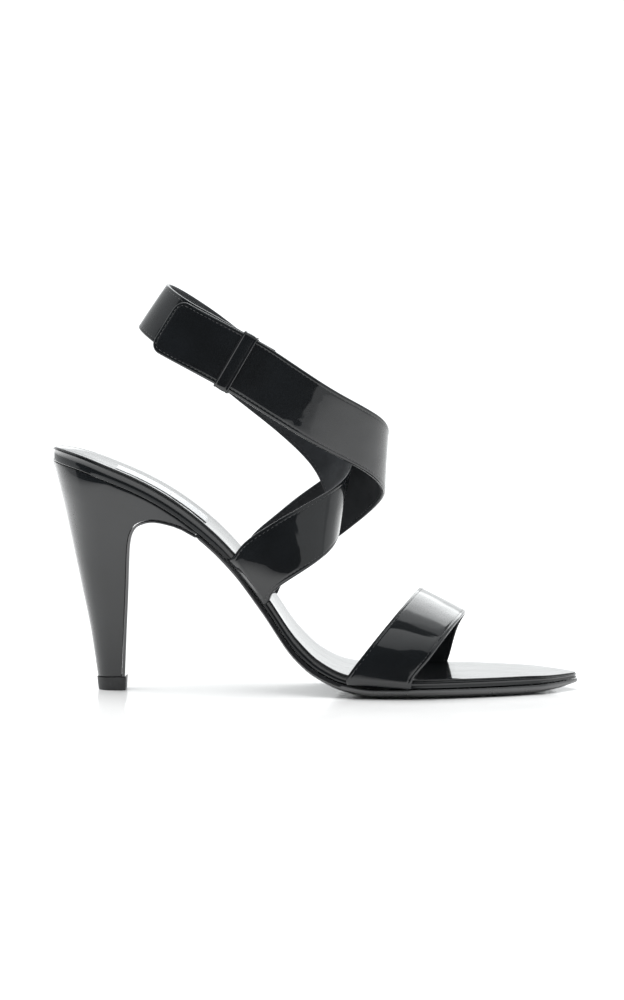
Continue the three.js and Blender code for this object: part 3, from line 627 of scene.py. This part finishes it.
# Straps: columns of rows are forward, side, up, lean, turn, wide
strapSize = {"width": 23 * mm, "thickness": 1.8 * mm, "skived": 1 * mm, "tuck": 7 * mm,
             "step": 0.6 * mm, "ankleHalf": 28 * mm, "collar": 166 * mm, "toeHeight": 36 * mm,
             "flapCorner": 5 * mm, "flapWidth": 23.6 * mm, "flapLength": 45.2 * mm, "flapDrop": 2 * mm,
             "tuckWide": 1.14, "roll": 1.2 * mm, "tuckHeld": 2.5 * mm, "crown": 0.12 * mm,
             "corner": 0.6 * mm, "columns": 9, "smoothTurns": 90}

innerStrapRows = [
    (0.391, -1.02, 0.313, -31, 6, 1.00),
    (0.433, -1.07, 0.350, -29, 8, 1.00),
    (0.489, -0.97, 0.394, -18, 8, 1.00),
    (0.535, -0.63, 0.433, 0, 5, 1.02),
    (0.554, -0.11, 0.473, 12, 0, 1.04),
    (0.546, 0.40, 0.530, 24, -4, 1.02),
    (0.527, 0.76, 0.595, 36, -6, 1.00),
    (0.468, 0.96, 0.670, 42, -5, 1.00),
    (0.374, 0.99, 0.767, 41, -3, 1.00),
    (0.290, 0.82, 0.859, 38, 0, 0.97),
    (0.224, 0.46, 0.921, 36, 0, 0.95),
    (0.194, 0.00, 0.945, 34.5, 0, 0.93),
    (0.203, -0.38, 0.932, 33, 0, 0.94),
    (0.238, -0.68, 0.901, 31.5, 0, 0.96),
    (0.304, -0.90, 0.852, 30.5, 0, 1.00),
    (0.402, -1.01, 0.780, 30, 0, 1.00),
]

outerStrapRows = [
    (0.402, 0.93, 0.309, -34, -6, 1.00),
    (0.445, 1.04, 0.356, -37, -8, 1.00),
    (0.498, 1.02, 0.409, -36, -8, 1.03),
    (0.555, 0.79, 0.465, -28, -5, 1.01),
    (0.610, 0.38, 0.524, -12, -2, 1.00),
    (0.633, -0.07, 0.561, 3, 0, 1.00),
    (0.617, -0.52, 0.602, 14, 2, 1.00),
    (0.570, -0.88, 0.642, 22, 2, 1.00),
    (0.505, -1.10, 0.690, 27, 1, 1.00),
]

toeStrapRows = [
    (0.630, -1.060, 0.300, -84, 2, 1.10),
    (0.658, -1.040, 0.500, -76, 8, 1.04),
    (0.695, -0.860, 0.765, -69, 18, 1.00),
    (0.724, -0.480, 0.940, -65, 24, 1.00),
    (0.740, -0.020, 1.000, -64, 24, 1.00),
    (0.742, 0.450, 0.960, -65, 20, 1.00),
    (0.728, 0.800, 0.790, -68, 14, 1.00),
    (0.712, 0.985, 0.540, -76, 6, 1.04),
    (0.700, 1.010, 0.300, -84, 2, 1.10),
]


def strapLine(centre, up, width, thickness):
    return {"centre": Vector(centre), "up": Vector(up), "width": width, "thickness": thickness}


def tuckLines(x, side, width):      # end between insole and outsole, and its bend round the edge
    slope = math.atan2(insoleUnder(x + 4 * mm, side) - insoleUnder(x - 4 * mm, side), 8 * mm)
    run = math.cos(slope) * width / 2
    back, front, edge = [Vector((at, planEdge(at, side), insoleUnder(at, side)))
                         for at in (x - run, x + run, x)]
    centre = Vector(((back.x + front.x) / 2, edge.y, max((back.z + front.z) / 2, edge.z)))
    up = (back - front).normalized()
    away = Vector((-math.sin(slope), 0, math.cos(slope)))
    half, skived = strapSize["thickness"] / 2, strapSize["skived"]
    roll = strapSize["roll"]
    steps = ((-strapSize["tuck"], skived / 2, skived), (-0.5 * mm, skived / 2, skived),
             (roll * 0.7, skived * 0.55, skived * 1.2), (roll * 1.35, skived * 1.5, half * 1.7),
             (roll * 1.7, skived * 3.4, half * 2))
    return [strapLine(centre + away * above + Vector((0, side * outward, 0)), up, width, thickness)
            for outward, above, thickness in steps]


def tableLines(rows, sideSize, heightSize):
    lines = []
    for forward, side, up, lean, turn, wide in rows:
        tilt, inward = math.radians(lean), math.radians(turn)
        rise = (math.cos(inward) * math.sin(tilt), math.sin(inward), math.cos(inward) * math.cos(tilt))
        centre = (forward * last["length"], side * sideSize, up * heightSize)
        lines.append(strapLine(centre, rise, wide * strapSize["width"], strapSize["thickness"]))
    return lines


def curvePoint(points, at):         # smooth curve through the points
    low = min(int(at), len(points) - 2)
    part = at - low
    first, second = points[low], points[low + 1]
    before = points[low - 1] if low > 0 else first * 2 - second
    after = points[low + 2] if low + 2 < len(points) else second * 2 - first
    square, cube = part ** 2, part ** 3
    return (first * (2 * cube - 3 * square + 1) + second * (3 * square - 2 * cube)
            + (second - before) * 0.5 * (cube - 2 * square + part)
            + (after - first) * 0.5 * (cube - square))


class StrapPath:
    # centre line of a strap in even steps, smoothed outside its tucked ends
    def __init__(self, lines, keepStart, keepEnd):
        rows = [(i, *line["up"], line["width"], line["thickness"]) for i, line in enumerate(lines)]
        centres = [line["centre"] for line in lines]
        dense = []
        for i in range((len(lines) - 1) * 40 + 1):
            at = i / 40
            up = Vector([rowValue(rows, c, at) for c in (1, 2, 3)])
            dense.append([curvePoint(centres, at), up, rowValue(rows, 4, at), rowValue(rows, 5, at)])
        travelled = [0.0]
        for a, b in zip(dense, dense[1:]):
            travelled.append(travelled[-1] + (b[0] - a[0]).length)
        self.length = travelled[-1]
        count = round(self.length / strapSize["step"])
        self.step = self.length / count
        self.samples = []
        low = 0
        for i in range(count + 1):
            distance = i * self.step
            while low < len(dense) - 2 and travelled[low + 1] < distance:
                low += 1
            part = min((distance - travelled[low]) / (travelled[low + 1] - travelled[low]), 1)
            a, b = dense[low], dense[low + 1]
            self.samples.append([a[0].lerp(b[0], part), a[1].lerp(b[1], part),
                                 blend(a[2], b[2], part), blend(a[3], b[3], part)])
        self.smooth(round(keepStart / self.step), round(keepEnd / self.step))

    def smooth(self, start, end):
        last = len(self.samples) - 1 - end
        for turn in range(strapSize["smoothTurns"]):
            fresh = {}
            for i in range(start + 1, last):
                near = min(i - start, last - i)
                share = min(1.0, near / 12) * 0.5
                a, b, c = self.samples[i - 1], self.samples[i], self.samples[i + 1]
                fresh[i] = [b[k].lerp((a[k] + c[k]) / 2, share) for k in (0, 1)]
            for i, (centre, up) in fresh.items():
                self.samples[i][0], self.samples[i][1] = centre, up

    def at(self, distance):
        place = min(max(distance / self.step, 0), len(self.samples) - 1)
        low = min(int(place), len(self.samples) - 2)
        part = place - low
        a, b = self.samples[low], self.samples[low + 1]
        return (a[0].lerp(b[0], part), a[1].lerp(b[1], part).normalized(),
                blend(a[2], b[2], part), blend(a[3], b[3], part))

    def facing(self, distance, across):
        def edge(at):
            centre, up, width, thickness = self.at(min(max(at, 0), self.length))
            return centre + up * (across * width / 2)
        ahead = (edge(distance + 0.5 * mm) - edge(distance - 0.5 * mm)).normalized()
        return ahead.cross(self.at(distance)[1]).normalized()


# Section of a strap's edge: inset from the edge and height of the outer face, in mm
edgeSteps = [(0.30, 0.00), (0.09, 0.05), (0.00, 0.20), (0.02, 0.40), (0.12, 0.61), (0.30, 0.78),
             (0.56, 0.89), (0.90, 0.93), (1.22, 0.91), (1.50, 0.80), (1.78, 0.90), (2.40, 0.93)]
edgeSpread = [0.0, 0.06, 0.12, 0.2, 0.32, 0.5, 0.72, 0.98, 1.22, 1.5, 1.78, 2.4]    # growing insets
inside = len(edgeSteps)


def strapLevels(count):             # from one edge to the other: side, edge step, share of the middle
    low = [(-1, k, 0) for k in range(inside)]
    middle = [(0, inside, 2 * (i + 1) / (count + 1) - 1) for i in range(count)]
    return low + middle + [(1, k, 0) for k in reversed(range(inside))]


# How the outer face rolls under at a tucked end, most in the middle of the strap
fold = {"start": 0.2 * mm, "end": 3.2 * mm, "fullness": 0.8, "out": 1.6 * mm, "fade": 30 * mm}


def foldRun(path, distance, ends):  # run past the tuck, amount and direction of the nearer fold
    for sign, amount in zip((1, -1), ends):
        run = (distance if sign > 0 else path.length - distance) - strapSize["tuck"]
        if amount and fold["start"] < run < fold["fade"]:
            return run, amount, sign
    return 0, 0, 1


def foldFullness(share):
    return max(0.0, 1 - share * share) ** fold["fullness"]


def foldOut(path, distance, share, ends):       # how far the strap stands out past the sole's edge
    run, amount, sign = foldRun(path, distance, ends)
    if not amount:
        return Vector()
    grow = min((run - fold["start"]) / (fold["end"] - fold["start"]), 1)
    fall = max(0.0, run - fold["end"]) / (fold["fade"] - fold["end"])
    away = 1 if path.at(distance)[0].y > 0 else -1
    return Vector((0, away * amount * fold["out"] * grow * (1 - fall) * foldFullness(share), 0))


def facePoint(path, distance, share, height, outward, ends):
    centre, up, width, thickness = path.at(distance)
    out = path.facing(distance, share) * outward
    lift = strapSize["crown"] * (1 - share ** 2)
    spot = centre + up * (share * width / 2) + out * (height * thickness / strapSize["thickness"] + lift)
    return spot + foldOut(path, distance, share, ends)


def strapSurface(path, rowLevel, columnLevel, face, outward, corner, ends):
    rowEnd, rowStep, rowShare = rowLevel
    side, columnStep, share = columnLevel
    k = min(rowStep, columnStep)
    inset = edgeSteps[-1][0] * mm
    length = path.length
    toEnd = edgeSteps[rowStep][0] * mm if rowEnd else inset + (1 - rowShare) / 2 * (length - 2 * inset)
    distance = length - toEnd if rowEnd >= 0 else toEnd
    half = path.at(distance)[2] / 2
    toSide = edgeSteps[columnStep][0] * mm if side else half - abs(share) * (half - inset)
    sign = side if side else (1 if share >= 0 else -1)
    if rowEnd >= 0 and toEnd < corner and toSide < corner:      # the closure's round corners
        p = corner - (edgeSpread[rowStep] * mm if rowEnd else toEnd)
        q = corner - (edgeSpread[columnStep] * mm if side else toSide)
        reach = corner - edgeSteps[k][0] * mm if k < inside else max(p, q)
        angle = min(p, q) / max(p, q, 1e-9) * math.pi / 4
        long, short = reach * math.cos(angle), reach * math.sin(angle)
        toEnd = corner - (long if p >= q else short)
        toSide = corner - (short if p >= q else long)
        distance = length - toEnd
    share = sign * (half - toSide) / (path.at(distance)[2] / 2)
    height = (edgeSteps[k][1] if k < inside else edgeSteps[-1][1]) * mm * face
    spot = facePoint(path, distance, share, height, outward, ends)
    run, amount, way = foldRun(path, distance, ends)
    if face > 0 and amount and run < fold["end"]:
        limits = [strapSize["tuck"] + fold["start"], strapSize["tuck"] + fold["end"]]
        limits = limits if way > 0 else [length - limit for limit in limits]
        low, high = [facePoint(path, limit, share, height, outward, ends) for limit in limits]
        part = (run - fold["start"]) / (fold["end"] - fold["start"])
        spot = spot.lerp(low.lerp(high, part), amount * foldFullness(share))
    return spot, (distance, sign * (half - toSide))


def strapMesh(name, path, outward, corner, ends, node):
    bm = bmesh.new()
    uvLayer = bm.loops.layers.uv.new("strap")
    rows = strapLevels(round(path.length / strapSize["step"]))
    columns = strapLevels(strapSize["columns"])
    for face, material in ((1, 0), (-1, 1)):
        spots = {}
        for r, rowLevel in enumerate(rows):
            for c, columnLevel in enumerate(columns):
                spots[r, c] = strapSurface(path, rowLevel, columnLevel, face, outward, corner, ends)
        gridPiece(bm, len(rows), len(columns), lambda r, c: spots[r, c][0], uvLayer,
                  lambda r, c: spots[r, c][1], material)
    bmesh.ops.remove_doubles(bm, verts=bm.verts, dist=2 * mergeDistance)
    return finishPiece(bm, name, [patent, lining], node)


# Stitches: a row 1.5 mm inside each edge, on both faces
stitchLook = {"pitch": 1.85 * mm, "length": 1.3 * mm, "radius": 0.16 * mm, "inset": 1.5 * mm,
              "sunk": 0.13 * mm, "fromTuck": 4 * mm, "fromEnd": 2 * mm}


def edgeStitches(start, end, side):     # distance, across, side and heading of each stitch
    return [(distance, None, side, 0.0) for distance in frange(start, end, stitchLook["pitch"])]


def flapStitches(path, start):          # along one edge, round the end and back
    width, corner = strapSize["flapWidth"], strapSize["flapCorner"]
    radius = corner - stitchLook["inset"]
    end = path.length - corner
    arc = [(end + radius * math.sin(a), width / 2 - corner + radius * math.cos(a), 1, -a)
           for a in frange(0, math.pi / 2, stitchLook["pitch"] / radius)]
    across = [(path.length - stitchLook["inset"], a, 1, -math.pi / 2)
              for a in frange(width / 2 - corner, -(width / 2 - corner), -stitchLook["pitch"])]
    back = [(d, -a, 1, -h) for d, a, s, h in reversed(arc)]
    return edgeStitches(start, end, 1) + arc + across + back + edgeStitches(start, end, -1)


def frange(start, end, step):
    values = []
    while (end - start) * step > 1e-9 * abs(step):
        values.append(start)
        start += step
    return values


def stitchBead():                   # one stitch, lengthened and rounded, lying along x
    bm = bmesh.new()
    size = Matrix.Diagonal((stitchLook["length"] / 2, stitchLook["radius"], stitchLook["radius"], 1))
    bmesh.ops.create_uvsphere(bm, u_segments=6, v_segments=5, radius=1, matrix=size)
    mesh = bpy.data.meshes.new("stitchBead")
    bm.to_mesh(mesh)
    bm.free()
    return mesh


def stitchMesh(name, path, outward, spots, ends):
    bm = bmesh.new()
    bead = stitchBead()
    for distance, across, side, heading in spots:
        centre, up, width, thickness = path.at(distance)
        if across is None:
            across = side * (width / 2 - stitchLook["inset"])
        share = across / (width / 2)
        out = path.facing(distance, share) * outward
        ahead = (path.at(distance + 0.4 * mm)[0] - path.at(distance - 0.4 * mm)[0]).normalized()
        along = ahead * math.cos(heading) + up * math.sin(heading)
        sideways = out.cross(along).normalized()
        turn = Matrix((along, sideways, out)).transposed().to_4x4()
        for face in (1, -1):
            height = face * (thickness / 2 - stitchLook["sunk"]) + strapSize["crown"] * (1 - share ** 2)
            place = centre + up * across + out * height + foldOut(path, distance, share, ends)
            spot = Matrix.Translation(place) @ turn
            bead.transform(spot)
            bm.from_mesh(bead)
            bead.transform(spot.inverted())
    bpy.data.meshes.remove(bead)
    return finishPiece(bm, name, [thread], None)


def closureLines(innerPath):
    lines = []
    for i in range(6):
        share = 0.1 + 0.9 * i / 5
        distance = innerPath.length - share * strapSize["flapLength"]
        centre, up, width, thickness = innerPath.at(distance)
        drop = strapSize["flapDrop"] * (0.2 + 0.8 * share ** 2)
        lift = innerPath.facing(distance, 0) * (strapSize["thickness"] + gap)
        lines.append(strapLine(centre + lift - up * drop, up, strapSize["flapWidth"], thickness))
    return lines


def makeStraps():
    tuck = strapSize["tuck"]
    held = tuck + strapSize["tuckHeld"]
    length = last["length"]
    wideTuck = strapSize["width"] * strapSize["tuckWide"]
    toe = StrapPath(tuckLines(0.622 * length, -1, wideTuck)
                    + tableLines(toeStrapRows, last["ball"] / 2, strapSize["toeHeight"])
                    + tuckLines(0.692 * length, 1, wideTuck)[::-1], held, held)
    inner = StrapPath(tuckLines(0.372 * length, -1, strapSize["width"])
                      + tableLines(innerStrapRows, strapSize["ankleHalf"], strapSize["collar"]), held, 0)
    outer = StrapPath(tuckLines(0.381 * length, 1, strapSize["width"])
                      + tableLines(outerStrapRows, strapSize["ankleHalf"], strapSize["collar"])
                      + closureLines(inner), held, 0)
    toeEnds, innerEnds, outerEnds = (0.3, 0.3), (1.0, 0), (0.8, 0)      # amount of fold at each end
    strapMesh("toeStrap", toe, 1, strapSize["corner"], toeEnds, "toe_strap")
    strapMesh("ankleStrapInner", inner, 1, strapSize["corner"], innerEnds, "ankle_strap_inner")
    strapMesh("ankleStrapOuter", outer, -1, strapSize["flapCorner"], outerEnds, "ankle_strap_outer")
    start = tuck + stitchLook["fromTuck"]
    spots = edgeStitches(start, toe.length - start, -1) + edgeStitches(start, toe.length - start, 1)
    stitchMesh("toeStrapStitches", toe, 1, spots, toeEnds)
    end = inner.length - stitchLook["fromEnd"]
    stitchMesh("ankleStrapInnerStitches", inner, 1,
               edgeStitches(start, end, -1) + edgeStitches(start, end, 1), innerEnds)
    stitchMesh("ankleStrapOuterStitches", outer, -1, flapStitches(outer, start), outerEnds)
    return outer


# Keeper loop round both straps at the closure
keeperLook = {"width": 6.3 * mm, "thickness": 0.8 * mm, "fromEnd": 35 * mm, "corner": 1.0 * mm,
              "longest": 0.9 * mm, "cornerSteps": 6,
              "section": [(0.12, 0.0), (0.0, 0.2), (0.0, 0.62), (0.15, 0.78), (0.4, 0.82),
                          (0.7, 0.76), (0.95, 0.6), (1.25, 0.64), (1.6, 0.72)]}


def makeKeeper(outer):
    bm = bmesh.new()
    middle = outer.length - keeperLook["fromEnd"]
    centre, up, width, thickness = outer.at(middle)
    facing = outer.facing(middle, 0)
    ahead = up.cross(facing).normalized()
    centre = centre + facing * (strapSize["thickness"] + gap) / 2
    wide = strapSize["flapWidth"] / 2 + gap
    deep = strapSize["thickness"] + 2 * gap
    corner = keeperLook["corner"]
    loop = []
    for cornerUp, cornerOut, first in ((1, 1, 0), (-1, 1, 90), (-1, -1, 180), (1, -1, 270)):
        for i in range(keeperLook["cornerSteps"] + 1):
            angle = math.radians(first + 90 * i / keeperLook["cornerSteps"])
            loop.append((cornerUp * (wide - corner), cornerOut * (deep - corner),
                         math.cos(angle), math.sin(angle)))
    half = keeperLook["width"] / 2
    section = [(inset * mm - half, height * mm) for inset, height in keeperLook["section"]]
    section.append((0, keeperLook["thickness"]))
    section += [(-a, h) for a, h in reversed(section[:-1])]
    section += [(section[0][0], 0.0)]
    ring = []
    for i, (baseUp, baseOut, towardUp, towardOut) in enumerate(loop):
        ring.append((baseUp, baseOut, towardUp, towardOut))
        nextUp, nextOut = loop[(i + 1) % len(loop)][:2]
        far = math.hypot(nextUp - baseUp, nextOut - baseOut)
        steps = max(2, round(far / keeperLook["longest"])) if far > keeperLook["longest"] else 1
        for share in [step / steps for step in range(1, steps)]:
            ring.append((blend(baseUp, nextUp, share), blend(baseOut, nextOut, share), towardUp, towardOut))
    ring.append(ring[0])

    def around(row, column):
        baseUp, baseOut, towardUp, towardOut = ring[row]
        along, height = section[column]
        away = corner + height
        spot = up * (baseUp + towardUp * away) + facing * (baseOut + towardOut * away)
        return centre + spot + ahead * along

    gridPiece(bm, len(ring), len(section), around)
    bmesh.ops.remove_doubles(bm, verts=bm.verts, dist=mergeDistance)
    return finishPiece(bm, "keeperLoop", [patent], "keeper_loop")


makeOutsole()
makeHeel()
makeTopPiece()
makeInsole()
makeSock()
makeLabel()
makeKeeper(makeStraps())
print("pieces made")

# Floor, light and camera: cards are left, right, low, high, slant, softness, brightness
studio = {
    "floorBack": 1.3, "floorFront": -1.3, "floorSide": 6.0, "floorRoughness": 0.08,
    "floorSpecular": 0.35,
    "dark": 0.1, "seen": 1.3, "tint": (0.975, 0.995, 1.0, 1),
    "boxSlant": 0.6, "boxFront": (45, 47), "boxRight": (97, 93), "boxLeft": (-62, -58),
    "boxTop": (84, 81), "boxGlow": (0.72, 1.6), "boxGlowHeights": (45, 80),
    "fillSpot": (-0.9, 0.1, 2.4), "fillAim": (-0.4, 0, 0), "fillSize": (3.2, 3.2), "fillPower": 166,
    "cards": [
        (-156, -79, -10, 60, 0.0, 1.2, 0.66),
        (6, 70, -10, 50, 0.75, 1.2, 0.8),
        (85, 150, -10, 45, 0.0, 4.0, 1.0),
        (150, 210, -10, 80, 0.0, 2.0, 1.1),
        (-210, -156, -10, 80, 0.0, 2.0, 0.75),
        (150, 210, 17, 58, 0.0, 3.0, 1.9),
        (-210, -156, 17, 58, 0.0, 3.0, 1.3),
        (95, 150, 60, 79, 0.0, 1.5, 0.7),
        (-156, -95, 60, 79, 0.0, 1.5, 0.5),
    ],
}


def makeFloor():
    bm = bmesh.new()
    bmesh.ops.create_grid(bm, x_segments=1, y_segments=1, size=1)
    front, back = studio["floorFront"], studio["floorBack"]
    for vert in bm.verts:
        vert.co = Vector((vert.co.x * studio["floorSide"], front if vert.co.y < 0 else back, 0))
    mesh = bpy.data.meshes.new("floor")
    bm.to_mesh(mesh)
    bm.free()
    floor = bpy.data.objects.new("floor", mesh)
    material, tree, shader = newMaterial("paleFloor")
    cloud = noiseOn(tree, 6, 2.0)
    colour = mixColour(tree, cloud.outputs["Fac"], (0.86, 0.86, 0.86, 1), (0.88, 0.88, 0.88, 1))
    setInputs(tree, shader, {"Base Color": colour, "Roughness": studio["floorRoughness"],
                             "Specular IOR Level": studio["floorSpecular"]})
    mesh.materials.append(material)
    bpy.context.scene.collection.objects.link(floor)


def areaLight(name, spot, aim, size, power):
    data = bpy.data.lights.new(name, "AREA")
    data.shape = "RECTANGLE"
    data.size, data.size_y = size
    data.energy = power
    light = bpy.data.objects.new(name, data)
    light.location = spot
    light.rotation_euler = (Vector(aim) - Vector(spot)).to_track_quat("-Z", "Y").to_euler()
    light.visible_glossy = False
    light.visible_camera = False
    bpy.context.scene.collection.objects.link(light)


def mathOn(tree, operation, first, second=0.0):
    node = addNode(tree, "ShaderNodeMath", {"operation": operation}, {0: first, 1: second})
    return node.outputs["Value"]


def smoothOn(tree, value, low, high):
    node = addNode(tree, "ShaderNodeMapRange", {"interpolation_type": "SMOOTHSTEP"},
                   {"Value": value, "From Min": low, "From Max": high, "To Min": 0.0, "To Max": 1.0})
    return node.outputs["Result"]


def makeWorld():                    # softboxes and cards as seen from the shoe, by turn and height
    world = bpy.data.worlds.new("studio")
    bpy.context.scene.world = world
    world.use_nodes = True
    tree = world.node_tree
    tree.nodes.clear()
    direction = addNode(tree, "ShaderNodeTexCoord").outputs["Generated"]
    parts = addNode(tree, "ShaderNodeSeparateXYZ", inputs={"Vector": direction})
    toward = mathOn(tree, "MULTIPLY", parts.outputs["Y"], -1.0)
    turn = mathOn(tree, "DEGREES", mathOn(tree, "ARCTAN2", parts.outputs["X"], toward))
    height = mathOn(tree, "DEGREES", mathOn(tree, "ARCSINE", parts.outputs["Z"]))
    glow = studio["dark"]
    for left, right, low, high, slant, soft, brightness in studio["cards"]:
        slanted = mathOn(tree, "SUBTRACT", turn, mathOn(tree, "MULTIPLY", height, slant))
        mask = mathOn(tree, "MULTIPLY", smoothOn(tree, slanted, left - soft, left + soft),
                      smoothOn(tree, slanted, right + soft, right - soft))
        mask = mathOn(tree, "MULTIPLY", mask, smoothOn(tree, height, low - soft, low + soft))
        mask = mathOn(tree, "MULTIPLY", mask, smoothOn(tree, height, high + soft, high - soft))
        glow = mathOn(tree, "ADD", mathOn(tree, "MULTIPLY", mask, brightness), glow)
    # overhead box in front, its near side slanting down to the right
    slanted = mathOn(tree, "ADD", height, mathOn(tree, "MULTIPLY", turn, studio["boxSlant"]))
    near = rampOn(tree, height, *studio["boxGlowHeights"], *studio["boxGlow"])
    for value, side in ((slanted, "boxFront"), (turn, "boxRight"), (turn, "boxLeft"), (height, "boxTop")):
        near = mathOn(tree, "MULTIPLY", near, smoothOn(tree, value, *studio[side]))
    glow = mathOn(tree, "MAXIMUM", glow, near)
    path = addNode(tree, "ShaderNodeLightPath")
    seen = addNode(tree, "ShaderNodeMix", {"data_type": "FLOAT"},
                   {"Factor": path.outputs["Is Camera Ray"], "A": glow, "B": studio["seen"]})
    light = addNode(tree, "ShaderNodeBackground", inputs={"Strength": seen.outputs["Result"]})
    light.inputs["Color"].default_value = studio["tint"]
    addNode(tree, "ShaderNodeOutputWorld", inputs={"Surface": light.outputs["Background"]})


def makeCamera():
    view = {"distance": 1.8, "azimuth": math.radians(1.0), "elevation": math.radians(3.73),
            "target": Vector((0.1057, 0, 0.0776)), "lens": 158.8, "sensor": 36}
    target = view["target"] + Vector((shoeZero.x, shoeZero.y, 0))
    ahead = Vector((-math.sin(view["azimuth"]) * math.cos(view["elevation"]),
                    math.cos(view["azimuth"]) * math.cos(view["elevation"]),
                    -math.sin(view["elevation"])))
    data = bpy.data.cameras.new("camera")
    data.lens = view["lens"]
    data.sensor_width = view["sensor"]
    data.clip_start, data.clip_end = 0.05, 60
    camera = bpy.data.objects.new("camera", data)
    camera.location = target - ahead * view["distance"]
    camera.rotation_euler = ahead.to_track_quat("-Z", "Y").to_euler()
    bpy.context.scene.collection.objects.link(camera)
    bpy.context.scene.camera = camera


makeFloor()
makeWorld()
areaLight("overheadFill", studio["fillSpot"], studio["fillAim"], studio["fillSize"], studio["fillPower"])
makeCamera()
bpy.context.scene.view_settings.view_transform = "Standard"
bpy.context.scene.view_settings.look = "None"
print("studio made")
